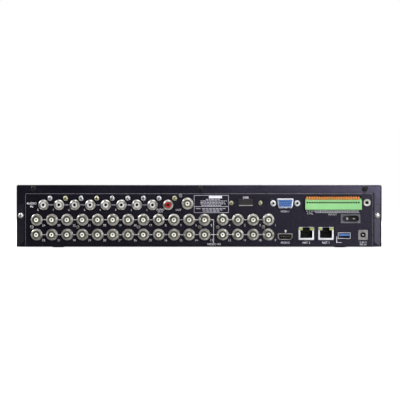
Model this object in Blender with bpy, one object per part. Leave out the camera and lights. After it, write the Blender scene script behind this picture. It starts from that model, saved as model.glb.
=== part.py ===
"""Thirty-two channel video recorder, modelled as the separate pieces that it comes apart into.

Lengths are in millimetres and are scaled to metres where a mesh is made. +X points to the right
of someone facing the rear panel, +Y runs from the rear panel to the front fascia, and +Z is up.
The origin is the middle of the footprint, on the surface that the recorder stands on.
"""

import math

import bmesh
import bpy
from mathutils import Matrix, Vector

MM = 0.001
GAP = 0.3
SHEET = 1.0

# Driving dimensions of the case.
WIDTH = 380.0
BODY_HEIGHT = 64.5
BODY_DEPTH = 320.0
FASCIA_DEPTH = 22.0
FOOT_HEIGHT = 1.8
PORT_REACH = 13.8
KEY_REACH = 1.2

# Planes that follow from them.
LENGTH = PORT_REACH + BODY_DEPTH + FASCIA_DEPTH + KEY_REACH
REAR = -LENGTH / 2 + PORT_REACH
COVER_FRONT = REAR + BODY_DEPTH
FACE = COVER_FRONT + FASCIA_DEPTH
BOTTOM = FOOT_HEIGHT
TOP = FOOT_HEIGHT + BODY_HEIGHT
HALF = WIDTH / 2

# Folded edges of the sheet metal at the rear.
FLANGE_DROP = 8.4
FLANGE_SIDE = 7.6
BASE_WALL_TOP = TOP - 20.3
FIELD_HALF = HALF - FLANGE_SIDE - 1.2
FIELD_TOP = TOP - FLANGE_DROP - GAP
LIP_BACK = SHEET + GAP
CORNER_CHAMFER = 5.5

# Rear connectors.
ROUND_SIDES = 10
BNC_PITCH = 15.875
BNC_ROWS = (14.75, 30.05)
BNC_LEFT_START = -169.1
BNC_RIGHT_START = 24.4
BNC_BLOCK_COLUMNS = 4
MONITOR_BNC = (-12.1, 46.9)
AUDIO_PITCH = 16.22
AUDIO_START = -162.0
AUDIO_COUNT = 8
AUDIO_LEVEL = 45.5
AUDIO_OUT_X = -32.3
DRIVE_PORT = (48.7, 47.9)
DSUB_PORT = (89.6, 47.2)
TERMINAL_PITCH = 2.54
TERMINAL_WAYS = 22
TERMINAL_X = 139.6
TERMINAL_WAYS_X = 139.0
TERMINAL_BOTTOM = 40.4
TERMINAL_TOP = 50.5
MINI_JACK = (174.6, 47.8)
ROCKER = (157.5, 31.2)
DIGITAL_PORT = (89.6, 12.5)
NETWORK_X = {"network_port_1": 132.0, "network_port_2": 111.5}
NETWORK_LEVEL = 15.75
USB_PORT = (151.0, 13.6)
DC_INLET = (170.6, 14.3)

# Circuit boards, seen from below: top faces of the two levels that the connectors stand on.
BOARD = 1.6
MAIN_BOARD_TOP = 8.6
UPPER_BOARD_TOP = 39.8

COVER_SCREWS = {"cover_screw_left": -172.3, "cover_screw_middle": 1.4, "cover_screw_right": 172.3}
COVER_SCREW_LEVEL = TOP - 4.0
SIDE_SCREWS = {"side_screw_left": -185.6, "side_screw_right": 185.6}
SIDE_SCREW_LEVEL = 34.4

# Moving pieces.
ROCKER_PIVOT_DEPTH = 0.7
ROCKER_TILT = math.radians(10)
FAN_CENTRE = (179.9, -40.0, 25.5)
FAN_SIZE = 40.0
FAN_DEPTH = 15.0
FACE_WALL = 2.4
KEY_BOARD_FRONT = FACE - 9.3

# Front keys: name, centre x, centre z, and half sizes in x and z.
KEYS = {
    "up_key": (-112.0, 46.6, 7.0, 3.4),
    "down_key": (-112.0, 21.4, 7.0, 3.4),
    "left_key": (-99.4, 34.0, 3.4, 7.0),
    "right_key": (-124.6, 34.0, 3.4, 7.0),
    "record_key": (-72.0, 44.0, 6.5, 3.2),
    "play_key": (-72.0, 24.0, 6.5, 3.2),
    "menu_key": (-50.0, 44.0, 6.5, 3.2),
    "back_key": (-50.0, 24.0, 6.5, 3.2),
}
ENTER_KEY = (-112.0, 34.0, 6.2)
POWER_BUTTON = (-162.0, 42.0, 8.0)
FRONT_USB = ((-170.5, 17.0), (-153.5, 17.0))
WINDOW = (84.0, 40.0, 62.0, 9.0)

# Drives.
DRIVE_X = -60.0
DRIVE_SIZE = (101.6, 147.0, 26.1)
DRIVE_REAR = 3.0
DRIVE_LEVELS = {"hard_drive_1": 6.0, "hard_drive_2": 35.6}


# --------------------------------------------------------------------------- materials

PAINTS = {
    "black_paint": ((0.018, 0.017, 0.023), 0.45, 0.0),
    "nickel": ((0.62, 0.60, 0.56), 0.28, 1.0),
    "zinc_steel": ((0.60, 0.61, 0.63), 0.35, 1.0),
    "black_plastic": ((0.020, 0.020, 0.022), 0.45, 0.0),
    "dark_plastic": ((0.030, 0.030, 0.035), 0.35, 0.0),
    "window_plastic": ((0.012, 0.008, 0.010), 0.10, 0.0),
    "green_plastic": ((0.24, 0.62, 0.26), 0.45, 0.0),
    "orange_plastic": ((0.82, 0.32, 0.06), 0.45, 0.0),
    "red_plastic": ((0.62, 0.03, 0.03), 0.35, 0.0),
    "white_plastic": ((0.80, 0.80, 0.77), 0.40, 0.0),
    "blue_plastic": ((0.08, 0.20, 0.60), 0.40, 0.0),
    "circuit_board": ((0.02, 0.14, 0.06), 0.40, 0.0),
    "aluminium": ((0.70, 0.71, 0.72), 0.35, 1.0),
    "black_screw": ((0.020, 0.020, 0.022), 0.35, 1.0),
    "rubber": ((0.015, 0.015, 0.015), 0.80, 0.0),
    "grey_cable": ((0.45, 0.46, 0.48), 0.55, 0.0),
    "red_cable": ((0.50, 0.04, 0.04), 0.50, 0.0),
}


def material(name):
    """The named paint as a Principled material, made once."""
    found = bpy.data.materials.get(name)
    if found:
        return found
    colour, roughness, metallic = PAINTS[name]
    made = bpy.data.materials.new(name)
    made.use_nodes = True
    shader = made.node_tree.nodes["Principled BSDF"]
    shader.inputs["Base Color"].default_value = (*colour, 1.0)
    shader.inputs["Roughness"].default_value = roughness
    shader.inputs["Metallic"].default_value = metallic
    return made


# --------------------------------------------------------------------------- mesh tools


def block(x, y, z):
    """A box between pairs of limits along X, Y and Z."""
    made = bmesh.new()
    bmesh.ops.create_cube(made, size=1.0)
    middle = Vector([(low + high) / 2 for low, high in (x, y, z)]) * MM
    size = Vector([high - low for low, high in (x, y, z)]) * MM
    bmesh.ops.transform(made, matrix=Matrix.Diagonal((*size, 1)), verts=made.verts)
    bmesh.ops.translate(made, vec=middle, verts=made.verts)
    return made


def prism(outline, axis, low, high):
    """An outline of points in the other two axes, extruded along the axis from low to high."""
    place = {"X": (1, 2, 0), "Y": (0, 2, 1), "Z": (0, 1, 2)}[axis]
    made = bmesh.new()
    corners = []
    for first, second in outline:
        point = [0.0, 0.0, 0.0]
        point[place[0]], point[place[1]], point[place[2]] = first, second, low
        corners.append(made.verts.new(Vector(point) * MM))
    face = made.faces.new(corners)
    grown = bmesh.ops.extrude_face_region(made, geom=[face])
    moved = [item for item in grown["geom"] if isinstance(item, bmesh.types.BMVert)]
    step = [0.0, 0.0, 0.0]
    step[place[2]] = (high - low) * MM
    bmesh.ops.translate(made, vec=Vector(step), verts=moved)
    bmesh.ops.recalc_face_normals(made, faces=made.faces)
    return made


def turned(profile, sides=ROUND_SIDES):
    """A profile of (radius, height) pairs turned about Z. Ends at radius 0 are closed with a fan."""
    made = bmesh.new()
    rings = []
    for radius, height in profile:
        if radius == 0:
            rings.append([made.verts.new((0, 0, height * MM))])
            continue
        angles = [2 * math.pi * (side + 0.5) / sides for side in range(sides)]
        ring = [(radius * math.cos(a), radius * math.sin(a), height) for a in angles]
        rings.append([made.verts.new(Vector(point) * MM) for point in ring])
    for low, high in zip(rings, rings[1:]):
        for side in range(sides):
            after = (side + 1) % sides
            corners = {
                (1, 1): None,
                (1, sides): (low[0], high[after % len(high)], high[side % len(high)]),
                (sides, 1): (low[side % len(low)], low[after % len(low)], high[0]),
            }.get((len(low), len(high)), (low[side % len(low)], low[after % len(low)],
                                          high[after % len(high)], high[side % len(high)]))
            if corners:
                made.faces.new(corners)
    bmesh.ops.recalc_face_normals(made, faces=made.faces)
    return made


def placed(made, turn=None, shift=(0, 0, 0)):
    """The same mesh turned by a matrix and then shifted, in millimetres."""
    if turn is not None:
        bmesh.ops.transform(made, matrix=turn, verts=made.verts)
    bmesh.ops.translate(made, vec=Vector(shift) * MM, verts=made.verts)
    return made


def rearward(made, x, z, y=None):
    """A mesh turned about Z, laid so that its height runs out of the rear panel at (x, z)."""
    return placed(made, Matrix.Rotation(math.radians(90), 4, "X"), (x, REAR if y is None else y, z))


def frontward(made, x, z, y):
    """A mesh turned about Z, laid so that its height runs out of the fascia at (x, z)."""
    return placed(made, Matrix.Rotation(math.radians(-90), 4, "X"), (x, y, z))


def together(pieces):
    """Several separate meshes in one, such as a set of cutters that don't touch."""
    made = bmesh.new()
    for piece in pieces:
        copy = bpy.data.meshes.new("copy")
        piece.to_mesh(copy)
        piece.free()
        made.from_mesh(copy)
        bpy.data.meshes.remove(copy)
    return made


def solid(name, made, paint, origin=(0, 0, 0)):
    """An object from a mesh, with its origin at a point in millimetres and its material."""
    mesh = bpy.data.meshes.new(name)
    bmesh.ops.translate(made, vec=-Vector(origin) * MM, verts=made.verts)
    made.to_mesh(mesh)
    made.free()
    mesh.materials.append(material(paint))
    shaded = bpy.data.objects.new(name, mesh)
    shaded.location = Vector(origin) * MM
    bpy.context.scene.collection.objects.link(shaded)
    mesh.shade_smooth()
    mesh.set_sharp_from_angle(angle=math.radians(35))
    return shaded


def helper(name, made):
    """A hidden object for a Boolean."""
    tool = solid(name, made, "zinc_steel")
    tool.hide_render = True
    tool.display_type = "WIRE"
    return tool


def boolean(target, operation, made):
    """Cuts, joins or trims a mesh with an exact Boolean that stays on the object."""
    count = len(target.modifiers) + 1
    step = target.modifiers.new(f"{operation.lower()}_{count}", "BOOLEAN")
    step.operation = operation
    step.solver = "EXACT"
    step.object = helper(f"{target.name}_tool_{count}", made)


def cut(target, *pieces):
    boolean(target, "DIFFERENCE", together(pieces))


def add(target, *pieces):
    boolean(target, "UNION", together(pieces))


def rounded_outline(half_x, half_z, radius, x, z, steps=4):
    """A rectangle with round corners, anticlockwise, as points in (x, z)."""
    points = []
    for quarter, (sx, sz) in enumerate(((1, 1), (-1, 1), (-1, -1), (1, -1))):
        for step in range(steps + 1):
            angle = math.radians(90 * quarter + 90 * step / steps)
            points.append((x + sx * (half_x - radius) + radius * math.cos(angle),
                           z + sz * (half_z - radius) + radius * math.sin(angle)))
    return points


def d_outline(half_x, half_z, slant, x, z):
    """The D shape of a monitor plug: a rectangle whose lower corners lean in."""
    return [(x - half_x, z + half_z), (x - half_x + slant, z - half_z),
            (x + half_x - slant, z - half_z), (x + half_x, z + half_z)]


def strip_outline(path, thickness):
    """The outline of a flat cable that follows a path of points, as thick as given."""
    one_side, other_side = [], []
    for index, point in enumerate(path):
        before = Vector(path[max(index - 1, 0)])
        after = Vector(path[min(index + 1, len(path) - 1)])
        along = (after - before).normalized()
        across = Vector((-along.y, along.x)) * thickness / 2
        one_side.append(tuple(Vector(point) + across))
        other_side.append(tuple(Vector(point) - across))
    return one_side + other_side[::-1]


def smooth_path(points, steps=3):
    """Points read from a smooth curve through the given ones."""
    read = []
    for index in range(len(points) - 1):
        p0 = Vector(points[max(index - 1, 0)])
        p1, p2 = Vector(points[index]), Vector(points[index + 1])
        p3 = Vector(points[min(index + 2, len(points) - 1)])
        for step in range(steps):
            t = step / steps
            read.append(0.5 * (2 * p1 + (p2 - p0) * t + (2 * p0 - 5 * p1 + 4 * p2 - p3) * t * t
                               + (3 * p1 - p0 - 3 * p2 + p3) * t ** 3))
    return [tuple(point) for point in read] + [tuple(points[-1])]


# --------------------------------------------------------------------------- places


def bnc_columns():
    """The X of every video input column: three blocks on the left and one on the right."""
    left = [BNC_LEFT_START + BNC_PITCH * index for index in range(3 * BNC_BLOCK_COLUMNS)]
    right = [BNC_RIGHT_START + BNC_PITCH * index for index in range(BNC_BLOCK_COLUMNS)]
    return left + right


def audio_columns():
    return [AUDIO_START + AUDIO_PITCH * index for index in range(AUDIO_COUNT)]


def terminal_half():
    return TERMINAL_PITCH * (TERMINAL_WAYS + 1) / 2


# --------------------------------------------------------------------------- case


def cover_outline(inset):
    """The inverted U of the cover, seen from the rear, as an outer or inner line of points."""
    radius = 1.6 - inset / 2
    half, top = HALF - inset, TOP - inset
    arc = [math.radians(90 * step / 3) for step in range(4)]
    right = [(half - radius + radius * math.cos(a), top - radius + radius * math.sin(a)) for a in arc]
    left = [(-x, z) for x, z in reversed(right)]
    return [(half, BOTTOM)] + right + left + [(-half, BOTTOM)]


def vent_slots(side, rows, columns, y_middle, z_middle):
    """Rows of upright slots through a side wall."""
    slot_half_y, slot_half_z, pitch_y, pitch_z = 1.3, 7.0, 5.2, 17.5
    across = (side * HALF - 4, side * HALF + 4)
    slots = []
    for row in range(rows):
        for column in range(columns):
            y = y_middle + pitch_y * (column - (columns - 1) / 2)
            z = z_middle + pitch_z * (row - (rows - 1) / 2)
            slots.append(block(across, (y - slot_half_y, y + slot_half_y),
                               (z - slot_half_z, z + slot_half_z)))
    return slots


def top_cover():
    """The folded cover: top, two sides, and the flange that laps the rear panel."""
    inner = cover_outline(SHEET)
    shell = prism(cover_outline(0) + inner[::-1], "Y", REAR, COVER_FRONT)
    cover = solid("top_cover", shell, "black_paint")
    flange_low, step_x = TOP - FLANGE_DROP, HALF - FLANGE_SIDE
    ends_low = BASE_WALL_TOP + GAP
    outer = [point for point in cover_outline(0.2) if point[1] > BOTTOM + 1]
    flange = [(HALF - 0.2, ends_low)] + outer + [(-HALF + 0.2, ends_low), (-step_x, ends_low),
                                                 (-step_x, flange_low), (step_x, flange_low),
                                                 (step_x, ends_low)]
    add(cover, prism(flange, "Y", REAR, REAR + SHEET))
    holes = [rearward(turned([(0, -3), (1.8, -3), (1.8, 3), (0, 3)], 8), x, COVER_SCREW_LEVEL)
             for x in COVER_SCREWS.values()]
    cut(cover, *holes)
    cut(cover, *vent_slots(1, 2, 7, FAN_CENTRE[1], FAN_CENTRE[2] + 1),
        *vent_slots(-1, 2, 10, -40, FAN_CENTRE[2] + 1))


def base_chassis():
    """The tray: floor, low side walls with rear flanges, and the wall behind the fascia."""
    half = HALF - SHEET - GAP
    floor_rear, floor_front = REAR + LIP_BACK + SHEET / 2 + GAP, COVER_FRONT - 1.3
    tray = [(-half, BASE_WALL_TOP), (-half, BOTTOM), (half, BOTTOM), (half, BASE_WALL_TOP),
            (half - SHEET, BASE_WALL_TOP), (half - SHEET, BOTTOM + SHEET),
            (-half + SHEET, BOTTOM + SHEET), (-half + SHEET, BASE_WALL_TOP)]
    base = solid("base_chassis", prism(tray, "Y", floor_rear, floor_front), "black_paint")
    for side in (-1, 1):
        outer, inner = side * half, side * (HALF - FLANGE_SIDE)
        flange = [(outer, BASE_WALL_TOP), (inner, BASE_WALL_TOP), (inner, BOTTOM + CORNER_CHAMFER),
                  (inner + side * CORNER_CHAMFER, BOTTOM + 0.2), (outer, BOTTOM + 0.2)]
        add(base, prism(flange, "Y", REAR, REAR + SHEET))
        wall = sorted((outer - side * 0.15, outer - side * 0.85))
        add(base, block(wall, (REAR + SHEET / 2, floor_rear + 1), (BOTTOM + 0.5, BASE_WALL_TOP - 0.5)))
    front_half = half - SHEET + 0.3
    add(base, block((-front_half, front_half), (floor_front - SHEET, floor_front - 0.15),
                    (BOTTOM + SHEET / 2, TOP - 4)))
    posts = [placed(turned([(0, BOTTOM + SHEET / 2), (3, BOTTOM + SHEET / 2),
                            (2.6, MAIN_BOARD_TOP - BOARD - GAP), (0, MAIN_BOARD_TOP - BOARD - GAP)], 8),
                    None, (x, y, 0)) for x in (-170, 0, 165) for y in (-132, -74)]
    add(base, *posts)
    fan_x, fan_y, fan_z = FAN_CENTRE
    bore = turned([(0, -20), (FAN_SIZE / 2 - 2.5, -20), (FAN_SIZE / 2 - 2.5, 20), (0, 20)], 20)
    along_x = Matrix.Rotation(math.radians(90), 4, "Y")
    screw_holes = [rearward(turned([(0, -3), (1.5, -3), (1.5, 3), (0, 3)], 8), x, SIDE_SCREW_LEVEL)
                   for x in SIDE_SCREWS.values()]
    cut(base, placed(bore, along_x, (fan_x, fan_y, fan_z)), *screw_holes,
        block((-HALF, -HALF + 10), (-76, -4), (8, 42)),
        block((40, 66), (floor_front - 4, floor_front + 4), (8, 16)))


def rear_panel():
    """The embossed plate that all the connectors look out of."""
    lip_half = HALF - 2 * SHEET - 2 * GAP
    lip = block((-lip_half, lip_half), (REAR + LIP_BACK, REAR + LIP_BACK + SHEET),
                (BOTTOM + SHEET + GAP, TOP - SHEET - GAP))
    panel = solid("rear_panel", lip, "black_paint")
    add(panel, block((-FIELD_HALF, FIELD_HALF), (REAR, REAR + LIP_BACK + SHEET / 2),
                     (BOTTOM + 0.05, FIELD_TOP)))
    cut(panel, block((-FIELD_HALF + SHEET, FIELD_HALF - SHEET), (REAR + SHEET, REAR + 6),
                     (BOTTOM + SHEET + 2 * GAP, FIELD_TOP - SHEET)))

    def round_hole(radius, x, z, sides=ROUND_SIDES):
        return rearward(turned([(0, -3), (radius, -3), (radius, 3), (0, 3)], sides), x, z)

    def square_hole(x, z, half_x, half_z):
        return block((x - half_x, x + half_x), (REAR - 3, REAR + 6), (z - half_z, z + half_z))

    holes = [round_hole(6.4, x, z) for x in bnc_columns() for z in BNC_ROWS]
    holes += [round_hole(5.75, x, AUDIO_LEVEL) for x in (*audio_columns(), AUDIO_OUT_X)]
    holes += [round_hole(6.4, *MONITOR_BNC), round_hole(3.5, *MINI_JACK)]
    holes += [round_hole(3.0, DSUB_PORT[0] + side * 12.5, DSUB_PORT[1], 6) for side in (-1, 1)]
    holes += [prism(d_outline(8.9, 5.0, 1.4, *DSUB_PORT), "Y", REAR - 3, REAR + 3)]
    holes += [square_hole(*DRIVE_PORT, 7.9, 3.9), square_hole(*DIGITAL_PORT, 7.9, 3.6)]
    holes += [square_hole(*USB_PORT, 7.0, 3.7), square_hole(*DC_INLET, 5.4, 5.7)]
    holes += [square_hole(x, NETWORK_LEVEL, 8.5, 7.1) for x in NETWORK_X.values()]
    middle = (TERMINAL_BOTTOM + TERMINAL_TOP) / 2
    holes += [square_hole(TERMINAL_X, middle, terminal_half() + 0.4, 5.45)]
    holes += [square_hole(*ROCKER, 9.6, 4.2)]
    screws = [round_hole(1.8, x, COVER_SCREW_LEVEL, 8) for x in COVER_SCREWS.values()]
    screws += [round_hole(1.5, x, SIDE_SCREW_LEVEL, 8) for x in SIDE_SCREWS.values()]
    cut(panel, *holes, *screws)


def foot(name, x, y):
    """A stick-on rubber pad."""
    pad = turned([(0, 0), (6.2, 0), (7.2, FOOT_HEIGHT - GAP / 3), (0, FOOT_HEIGHT - GAP / 3)], 16)
    solid(name, placed(pad, None, (x, y, 0)), "rubber", (x, y, 0))


def pan_screw(name, x, z, radius, paint):
    """A pan-head screw with a cross recess, through the rear sheet metal."""
    head = turned([(0, -6), (1.2, -6), (1.2, 0.1), (radius, 0.1), (radius, 1.0),
                   (radius * 0.62, 2.0), (0, 2.0)], 8)
    screw = solid(name, rearward(head, x, z), paint, (x, REAR, z))
    arm, slot = radius * 0.45, 0.35
    depth = (REAR - 3, REAR - 1.2)
    cross = block((x - arm, x + arm), depth, (z - slot, z + slot))
    cut(screw, cross)
    cut(screw, block((x - slot, x + slot), depth, (z - arm, z + arm)))


# --------------------------------------------------------------------------- rear connectors


def bnc_barrel(x, z):
    """A bayonet socket: collar, hollow barrel with two lugs, and the insulator in its bore."""
    tip = PORT_REACH
    barrel = turned([(0, -2.2), (6.05, -2.2), (6.05, 2.6), (4.85, 3.4), (4.85, tip), (4.05, tip),
                     (4.05, 4.2), (2.35, 4.2), (2.35, tip - 2.4), (0, tip - 2.4)])
    sides = [face for face in barrel.faces
             if abs(face.normal.x) > 0.95 and abs(face.calc_center_median().x) > 4.3 * MM
             and 3.4 * MM < face.calc_center_median().z]
    for face in sides:
        bmesh.ops.inset_individual(barrel, faces=[face], thickness=0.4 * MM)
        middle = sum(corner.co.z for corner in face.verts) / 4
        for corner in face.verts:
            corner.co.z = (tip - 2.8) * MM if corner.co.z > middle else (tip - 4.6) * MM
        outward = face.normal.copy()
        grown = bmesh.ops.extrude_discrete_faces(barrel, faces=[face])["faces"][0]
        bmesh.ops.translate(barrel, vec=outward * 0.75 * MM, verts=grown.verts)
    return rearward(barrel, x, z)


def bnc_block(name, columns):
    """Eight video inputs in one die-cast housing, two rows of four."""
    low, high = BNC_ROWS[0] - 5.85, BNC_ROWS[1] + 7.5
    housing = block((columns[0] - 7.6, columns[-1] + 7.6), (REAR + SHEET + GAP, REAR + 17), (low, high))
    casting = solid(name, housing, "nickel")
    add(casting, *[bnc_barrel(x, z) for x in columns for z in BNC_ROWS])


def monitor_bnc():
    x, z = MONITOR_BNC
    housing = block((x - 8.5, x + 7), (REAR + SHEET + GAP, REAR + 16), (UPPER_BOARD_TOP + GAP, z + 7))
    casting = solid("monitor_output_bnc", housing, "nickel")
    add(casting, bnc_barrel(x, z))


def phono_barrel(x):
    """A phono socket: flange, barrel and contact bore."""
    barrel = turned([(0, -2.2), (5.4, -2.2), (5.4, 2.0), (4.15, 2.0), (4.15, 9.5),
                     (1.65, 9.5), (1.65, 2.5), (0, 2.5)])
    return rearward(barrel, x, AUDIO_LEVEL)


def audio_jacks():
    """The row of eight inputs in one housing, and the separate output."""
    columns = audio_columns()
    levels = (UPPER_BOARD_TOP + GAP, AUDIO_LEVEL + 6)
    depth = (REAR + SHEET + GAP, REAR + 12)
    row = solid("audio_input_jacks", block((columns[0] - 7, columns[-1] + 7), depth, levels),
                "white_plastic")
    add(row, *[phono_barrel(x) for x in columns])
    single = block((AUDIO_OUT_X - 6.5, AUDIO_OUT_X + 6.5), depth, levels)
    add(solid("audio_output_jack", single, "red_plastic"), phono_barrel(AUDIO_OUT_X))


def shell_port(name, x, z, half_x, half_z, reach, depth, wall, tongue, paint, outline=None):
    """A metal-shelled socket with a contact tongue: (half width, low, high) about its centre."""
    outer = outline(half_x, half_z) if outline else rounded_outline(half_x, half_z, 0.5, x, z, 1)
    inner = (outline(half_x - wall, half_z - wall) if outline
             else rounded_outline(half_x - wall, half_z - wall, 0.3, x, z, 1))
    port = solid(name, prism(outer, "Y", REAR - reach, REAR + depth), paint)
    cut(port, prism(inner, "Y", REAR - reach - 2, REAR + depth - 3))
    half, low, high = tongue
    add(port, block((x - half, x + half), (REAR - reach + 1.2, REAR + depth - 2), (z + low, z + high)))


def drive_port():
    """The external drive socket with the bracket behind the panel."""
    x, z = DRIVE_PORT
    shell_port("external_drive_port", x, z, 7.4, 3.4, 0.6, 12, 0.9, (5.4, -0.2, 1.2), "dark_plastic")
    port = bpy.data.objects["external_drive_port"]
    bracket = block((x - 18.5, x + 18.5), (REAR + SHEET + GAP, REAR + SHEET + GAP + 1), (z - 5, z + 4.4))
    add(port, bracket)
    cut(port, block((x - 6.4, x + 6.4), (REAR - 3, REAR + 6), (z - 2.4, z - 0.25)),
        block((x - 6.4, x + 6.4), (REAR - 3, REAR + 6), (z + 1.25, z + 2.4)))


def dsub_port():
    """The fifteen-way monitor socket and its two jack posts."""
    x, z = DSUB_PORT
    plate = block((x - 15.4, x + 15.4), (REAR + SHEET + GAP, REAR + SHEET + GAP + 1), (z - 6.2, z + 6.2))
    port = solid("dsub_monitor_port", plate, "zinc_steel")
    add(port, prism(d_outline(8.45, 4.5, 1.3, x, z), "Y", REAR - 5.8, REAR + 12))
    cut(port, prism(d_outline(8.0, 4.05, 1.25, x, z), "Y", REAR - 8, REAR - 5.0))
    posts = []
    for side in (-1, 1):
        post = turned([(0, -2), (2.65, -2), (2.65, 5.0), (1.3, 5.0), (1.3, 1.0), (0, 1.0)], 6)
        posts.append(rearward(post, x + side * 12.5, z))
    add(port, *posts)


def network_port(name, x):
    """A shielded network socket: an open-fronted box with a latch notch."""
    low, high = MAIN_BOARD_TOP + GAP, NETWORK_LEVEL + 6.8
    port = solid(name, block((x - 8.1, x + 8.1), (REAR - 0.6, REAR + 17), (low, high)), "zinc_steel")
    step = [(x - 5.95, low + 1.6), (x + 5.95, low + 1.6), (x + 5.95, low + 8.8), (x + 3.6, low + 8.8),
            (x + 3.6, low + 10.4), (x + 2.0, low + 10.4), (x + 2.0, low + 12.0), (x - 2.0, low + 12.0),
            (x - 2.0, low + 10.4), (x - 3.6, low + 10.4), (x - 3.6, low + 8.8), (x - 5.95, low + 8.8)]
    cut(port, prism(step, "Y", REAR - 2, REAR + 11.5))


def dc_inlet():
    """The barrel power socket."""
    x, z = DC_INLET
    body = block((x - 4.95, x + 4.95), (REAR - 0.8, REAR + 13), (MAIN_BOARD_TOP + GAP, z + 5.3))
    inlet = solid("dc_inlet", body, "black_plastic")
    cut(inlet, rearward(turned([(0, -9.5), (3.0, -9.5), (3.0, 3), (0, 3)], 16), x, z))
    add(inlet, rearward(turned([(0, -11), (1.0, -11), (1.0, -0.4), (0, -0.4)], 8), x, z))


def mini_jack():
    """The small round jack, held by its ring nut."""
    x, z = MINI_JACK
    body = block((x - 5, x + 5), (REAR + SHEET + GAP, REAR + 13), (UPPER_BOARD_TOP + GAP, z + 4.5))
    jack = solid("remote_jack", body, "nickel")
    nut = turned([(0, -3), (3.1, -3), (3.1, 0.3), (3.95, 0.3), (3.95, 2.4), (3.1, 3.0), (0, 3.0)])
    bore = turned([(0, -9), (1.75, -9), (1.75, 6), (0, 6)])
    add(jack, rearward(nut, x, z))
    cut(jack, rearward(bore, x, z))


def terminal_block():
    """The header on the board, the plug in it, and the row of release levers on the plug."""
    half, low, high = terminal_half(), TERMINAL_BOTTOM, TERMINAL_TOP
    mouth = REAR - 1.0
    header = solid("terminal_header",
                   block((TERMINAL_X - half, TERMINAL_X + half), (mouth, REAR + 9.5), (low, high)),
                   "green_plastic")
    cut(header, block((TERMINAL_X - half + 1.1, TERMINAL_X + half - 1.1), (mouth - 2, REAR + 7.5),
                      (low + 1.1, high - 1.1)))

    front, back = REAR - 12.4, mouth - GAP
    body = solid("terminal_plug",
                 block((TERMINAL_X - half, TERMINAL_X + half), (front, back), (low, high)),
                 "green_plastic")
    add(body, block((TERMINAL_X - half + 1.5, TERMINAL_X + half - 1.5), (back - 1, REAR + 6.5),
                    (low + 1.5, high - 1.5)))
    add(body, block((TERMINAL_X - half + 0.2, TERMINAL_X + half - 0.2), (back - 1, back - 0.15),
                    (high - 1, high + 3.8)))
    entries = []
    for way in range(TERMINAL_WAYS):
        x = TERMINAL_WAYS_X + TERMINAL_PITCH * (way - (TERMINAL_WAYS - 1) / 2)
        entries.append(block((x - 0.8, x + 0.8), (front - 2, front + 7), (high - 3.4, high - 1.8)))
    cut(body, *entries)

    bar = (back - 3.6, back - 2.6)
    span = TERMINAL_PITCH * TERMINAL_WAYS / 2 - 0.2
    levers = solid("release_levers",
                   block((TERMINAL_WAYS_X - span, TERMINAL_WAYS_X + span), bar, (high + GAP, high + 2.4)),
                   "orange_plastic")
    fingers = []
    for way in range(TERMINAL_WAYS):
        x = TERMINAL_WAYS_X + TERMINAL_PITCH * (way - (TERMINAL_WAYS - 1) / 2)
        side = [(bar[0] + 0.5, high + GAP + 0.15), (bar[0] + 0.5, high + 3.6), (bar[0] - 2.5, high + 3.6),
                (bar[0] - 5.2, high + 1.6), (bar[0] - 5.2, high + GAP + 0.15)]
        fingers.append(prism(side, "X", x - 1.02, x + 1.02))
    add(levers, *fingers)


def power_switch():
    """The bezel that snaps into the panel, and the rocker in it, with its left end pressed."""
    x, z = ROCKER
    bezel = solid("power_switch_bezel",
                  block((x - 10.3, x + 10.3), (REAR - 1.8, REAR - GAP / 3), (z - 4.75, z + 4.75)),
                  "black_plastic")
    add(bezel, block((x - 9.3, x + 9.3), (REAR - 1, REAR + 13), (z - 3.9, z + 3.9)))
    cut(bezel, prism(rounded_outline(8.8, 3.4, 3.39, x, z), "Y", REAR - 4, REAR + 9.5))

    pivot = (x, REAR + ROCKER_PIVOT_DEPTH, z)
    reach, crown, dip = 7.5, 3.85, 2.9
    lower = [math.radians(angle) for angle in (333, 315, 292.5, 270, 247.5, 225, 207)]
    profile = [(-reach, crown), (0, dip), (reach, crown)]
    profile += [(0.99 * reach * math.cos(a), 1.36 * crown * math.sin(a)) for a in lower]
    outline = [(across, -out) for across, out in profile]
    lean = Matrix.Rotation(-ROCKER_TILT, 4, "Z")
    body = placed(prism(outline, "Z", -2.85, 2.85), lean, pivot)
    rocker = solid("power_rocker", body, "black_plastic", pivot)
    plan = placed(prism(rounded_outline(7.95, 2.8, 2.79, 0, 0), "Y", -12, 12), lean, pivot)
    boolean(rocker, "INTERSECT", plan)


# --------------------------------------------------------------------------- inside


def boards():
    """The main board and the upper board, each with its larger chips."""
    rear, top = REAR + LIP_BACK + SHEET + GAP + 0.2, MAIN_BOARD_TOP
    main = solid("main_board", block((-184, 184), (rear, -64), (top - BOARD, top)), "circuit_board")
    chips = [(100, -100, 19, 1.6), (40, -90, 8, 1.4), (-60, -100, 11, 1.5), (-100, -100, 11, 1.5),
             (-140, -100, 11, 1.5), (-20, -100, 11, 1.5)]
    add(main, *[block((x - h, x + h), (y - h, y + h), (top - 0.3, top + t)) for x, y, h, t in chips])
    upper = solid("upper_board", block((-176, 182), (rear, -118), (UPPER_BOARD_TOP - BOARD,
                                                                  UPPER_BOARD_TOP)), "circuit_board")
    add(upper, *[block((x - 6, x + 6), (-130, -122), (UPPER_BOARD_TOP - 0.3, UPPER_BOARD_TOP + 3))
                 for x in (-120, -40, 60)])


def heatsink():
    x, y, low = 100.0, -100.0, MAIN_BOARD_TOP + 1.6 + GAP
    fins, pitch, half = 9, 5.4, 23.0
    outline = [(x - half, low), (x + half, low), (x + half, low + 4)]
    for fin in reversed(range(fins)):
        middle = x + pitch * (fin - (fins - 1) / 2)
        outline += [(middle + 0.8, low + 4), (middle + 0.6, low + 18), (middle - 0.6, low + 18),
                    (middle - 0.8, low + 4)]
    outline.append((x - half, low + 4))
    solid("processor_heatsink", prism(outline, "Y", y - half, y + half), "aluminium")


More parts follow.
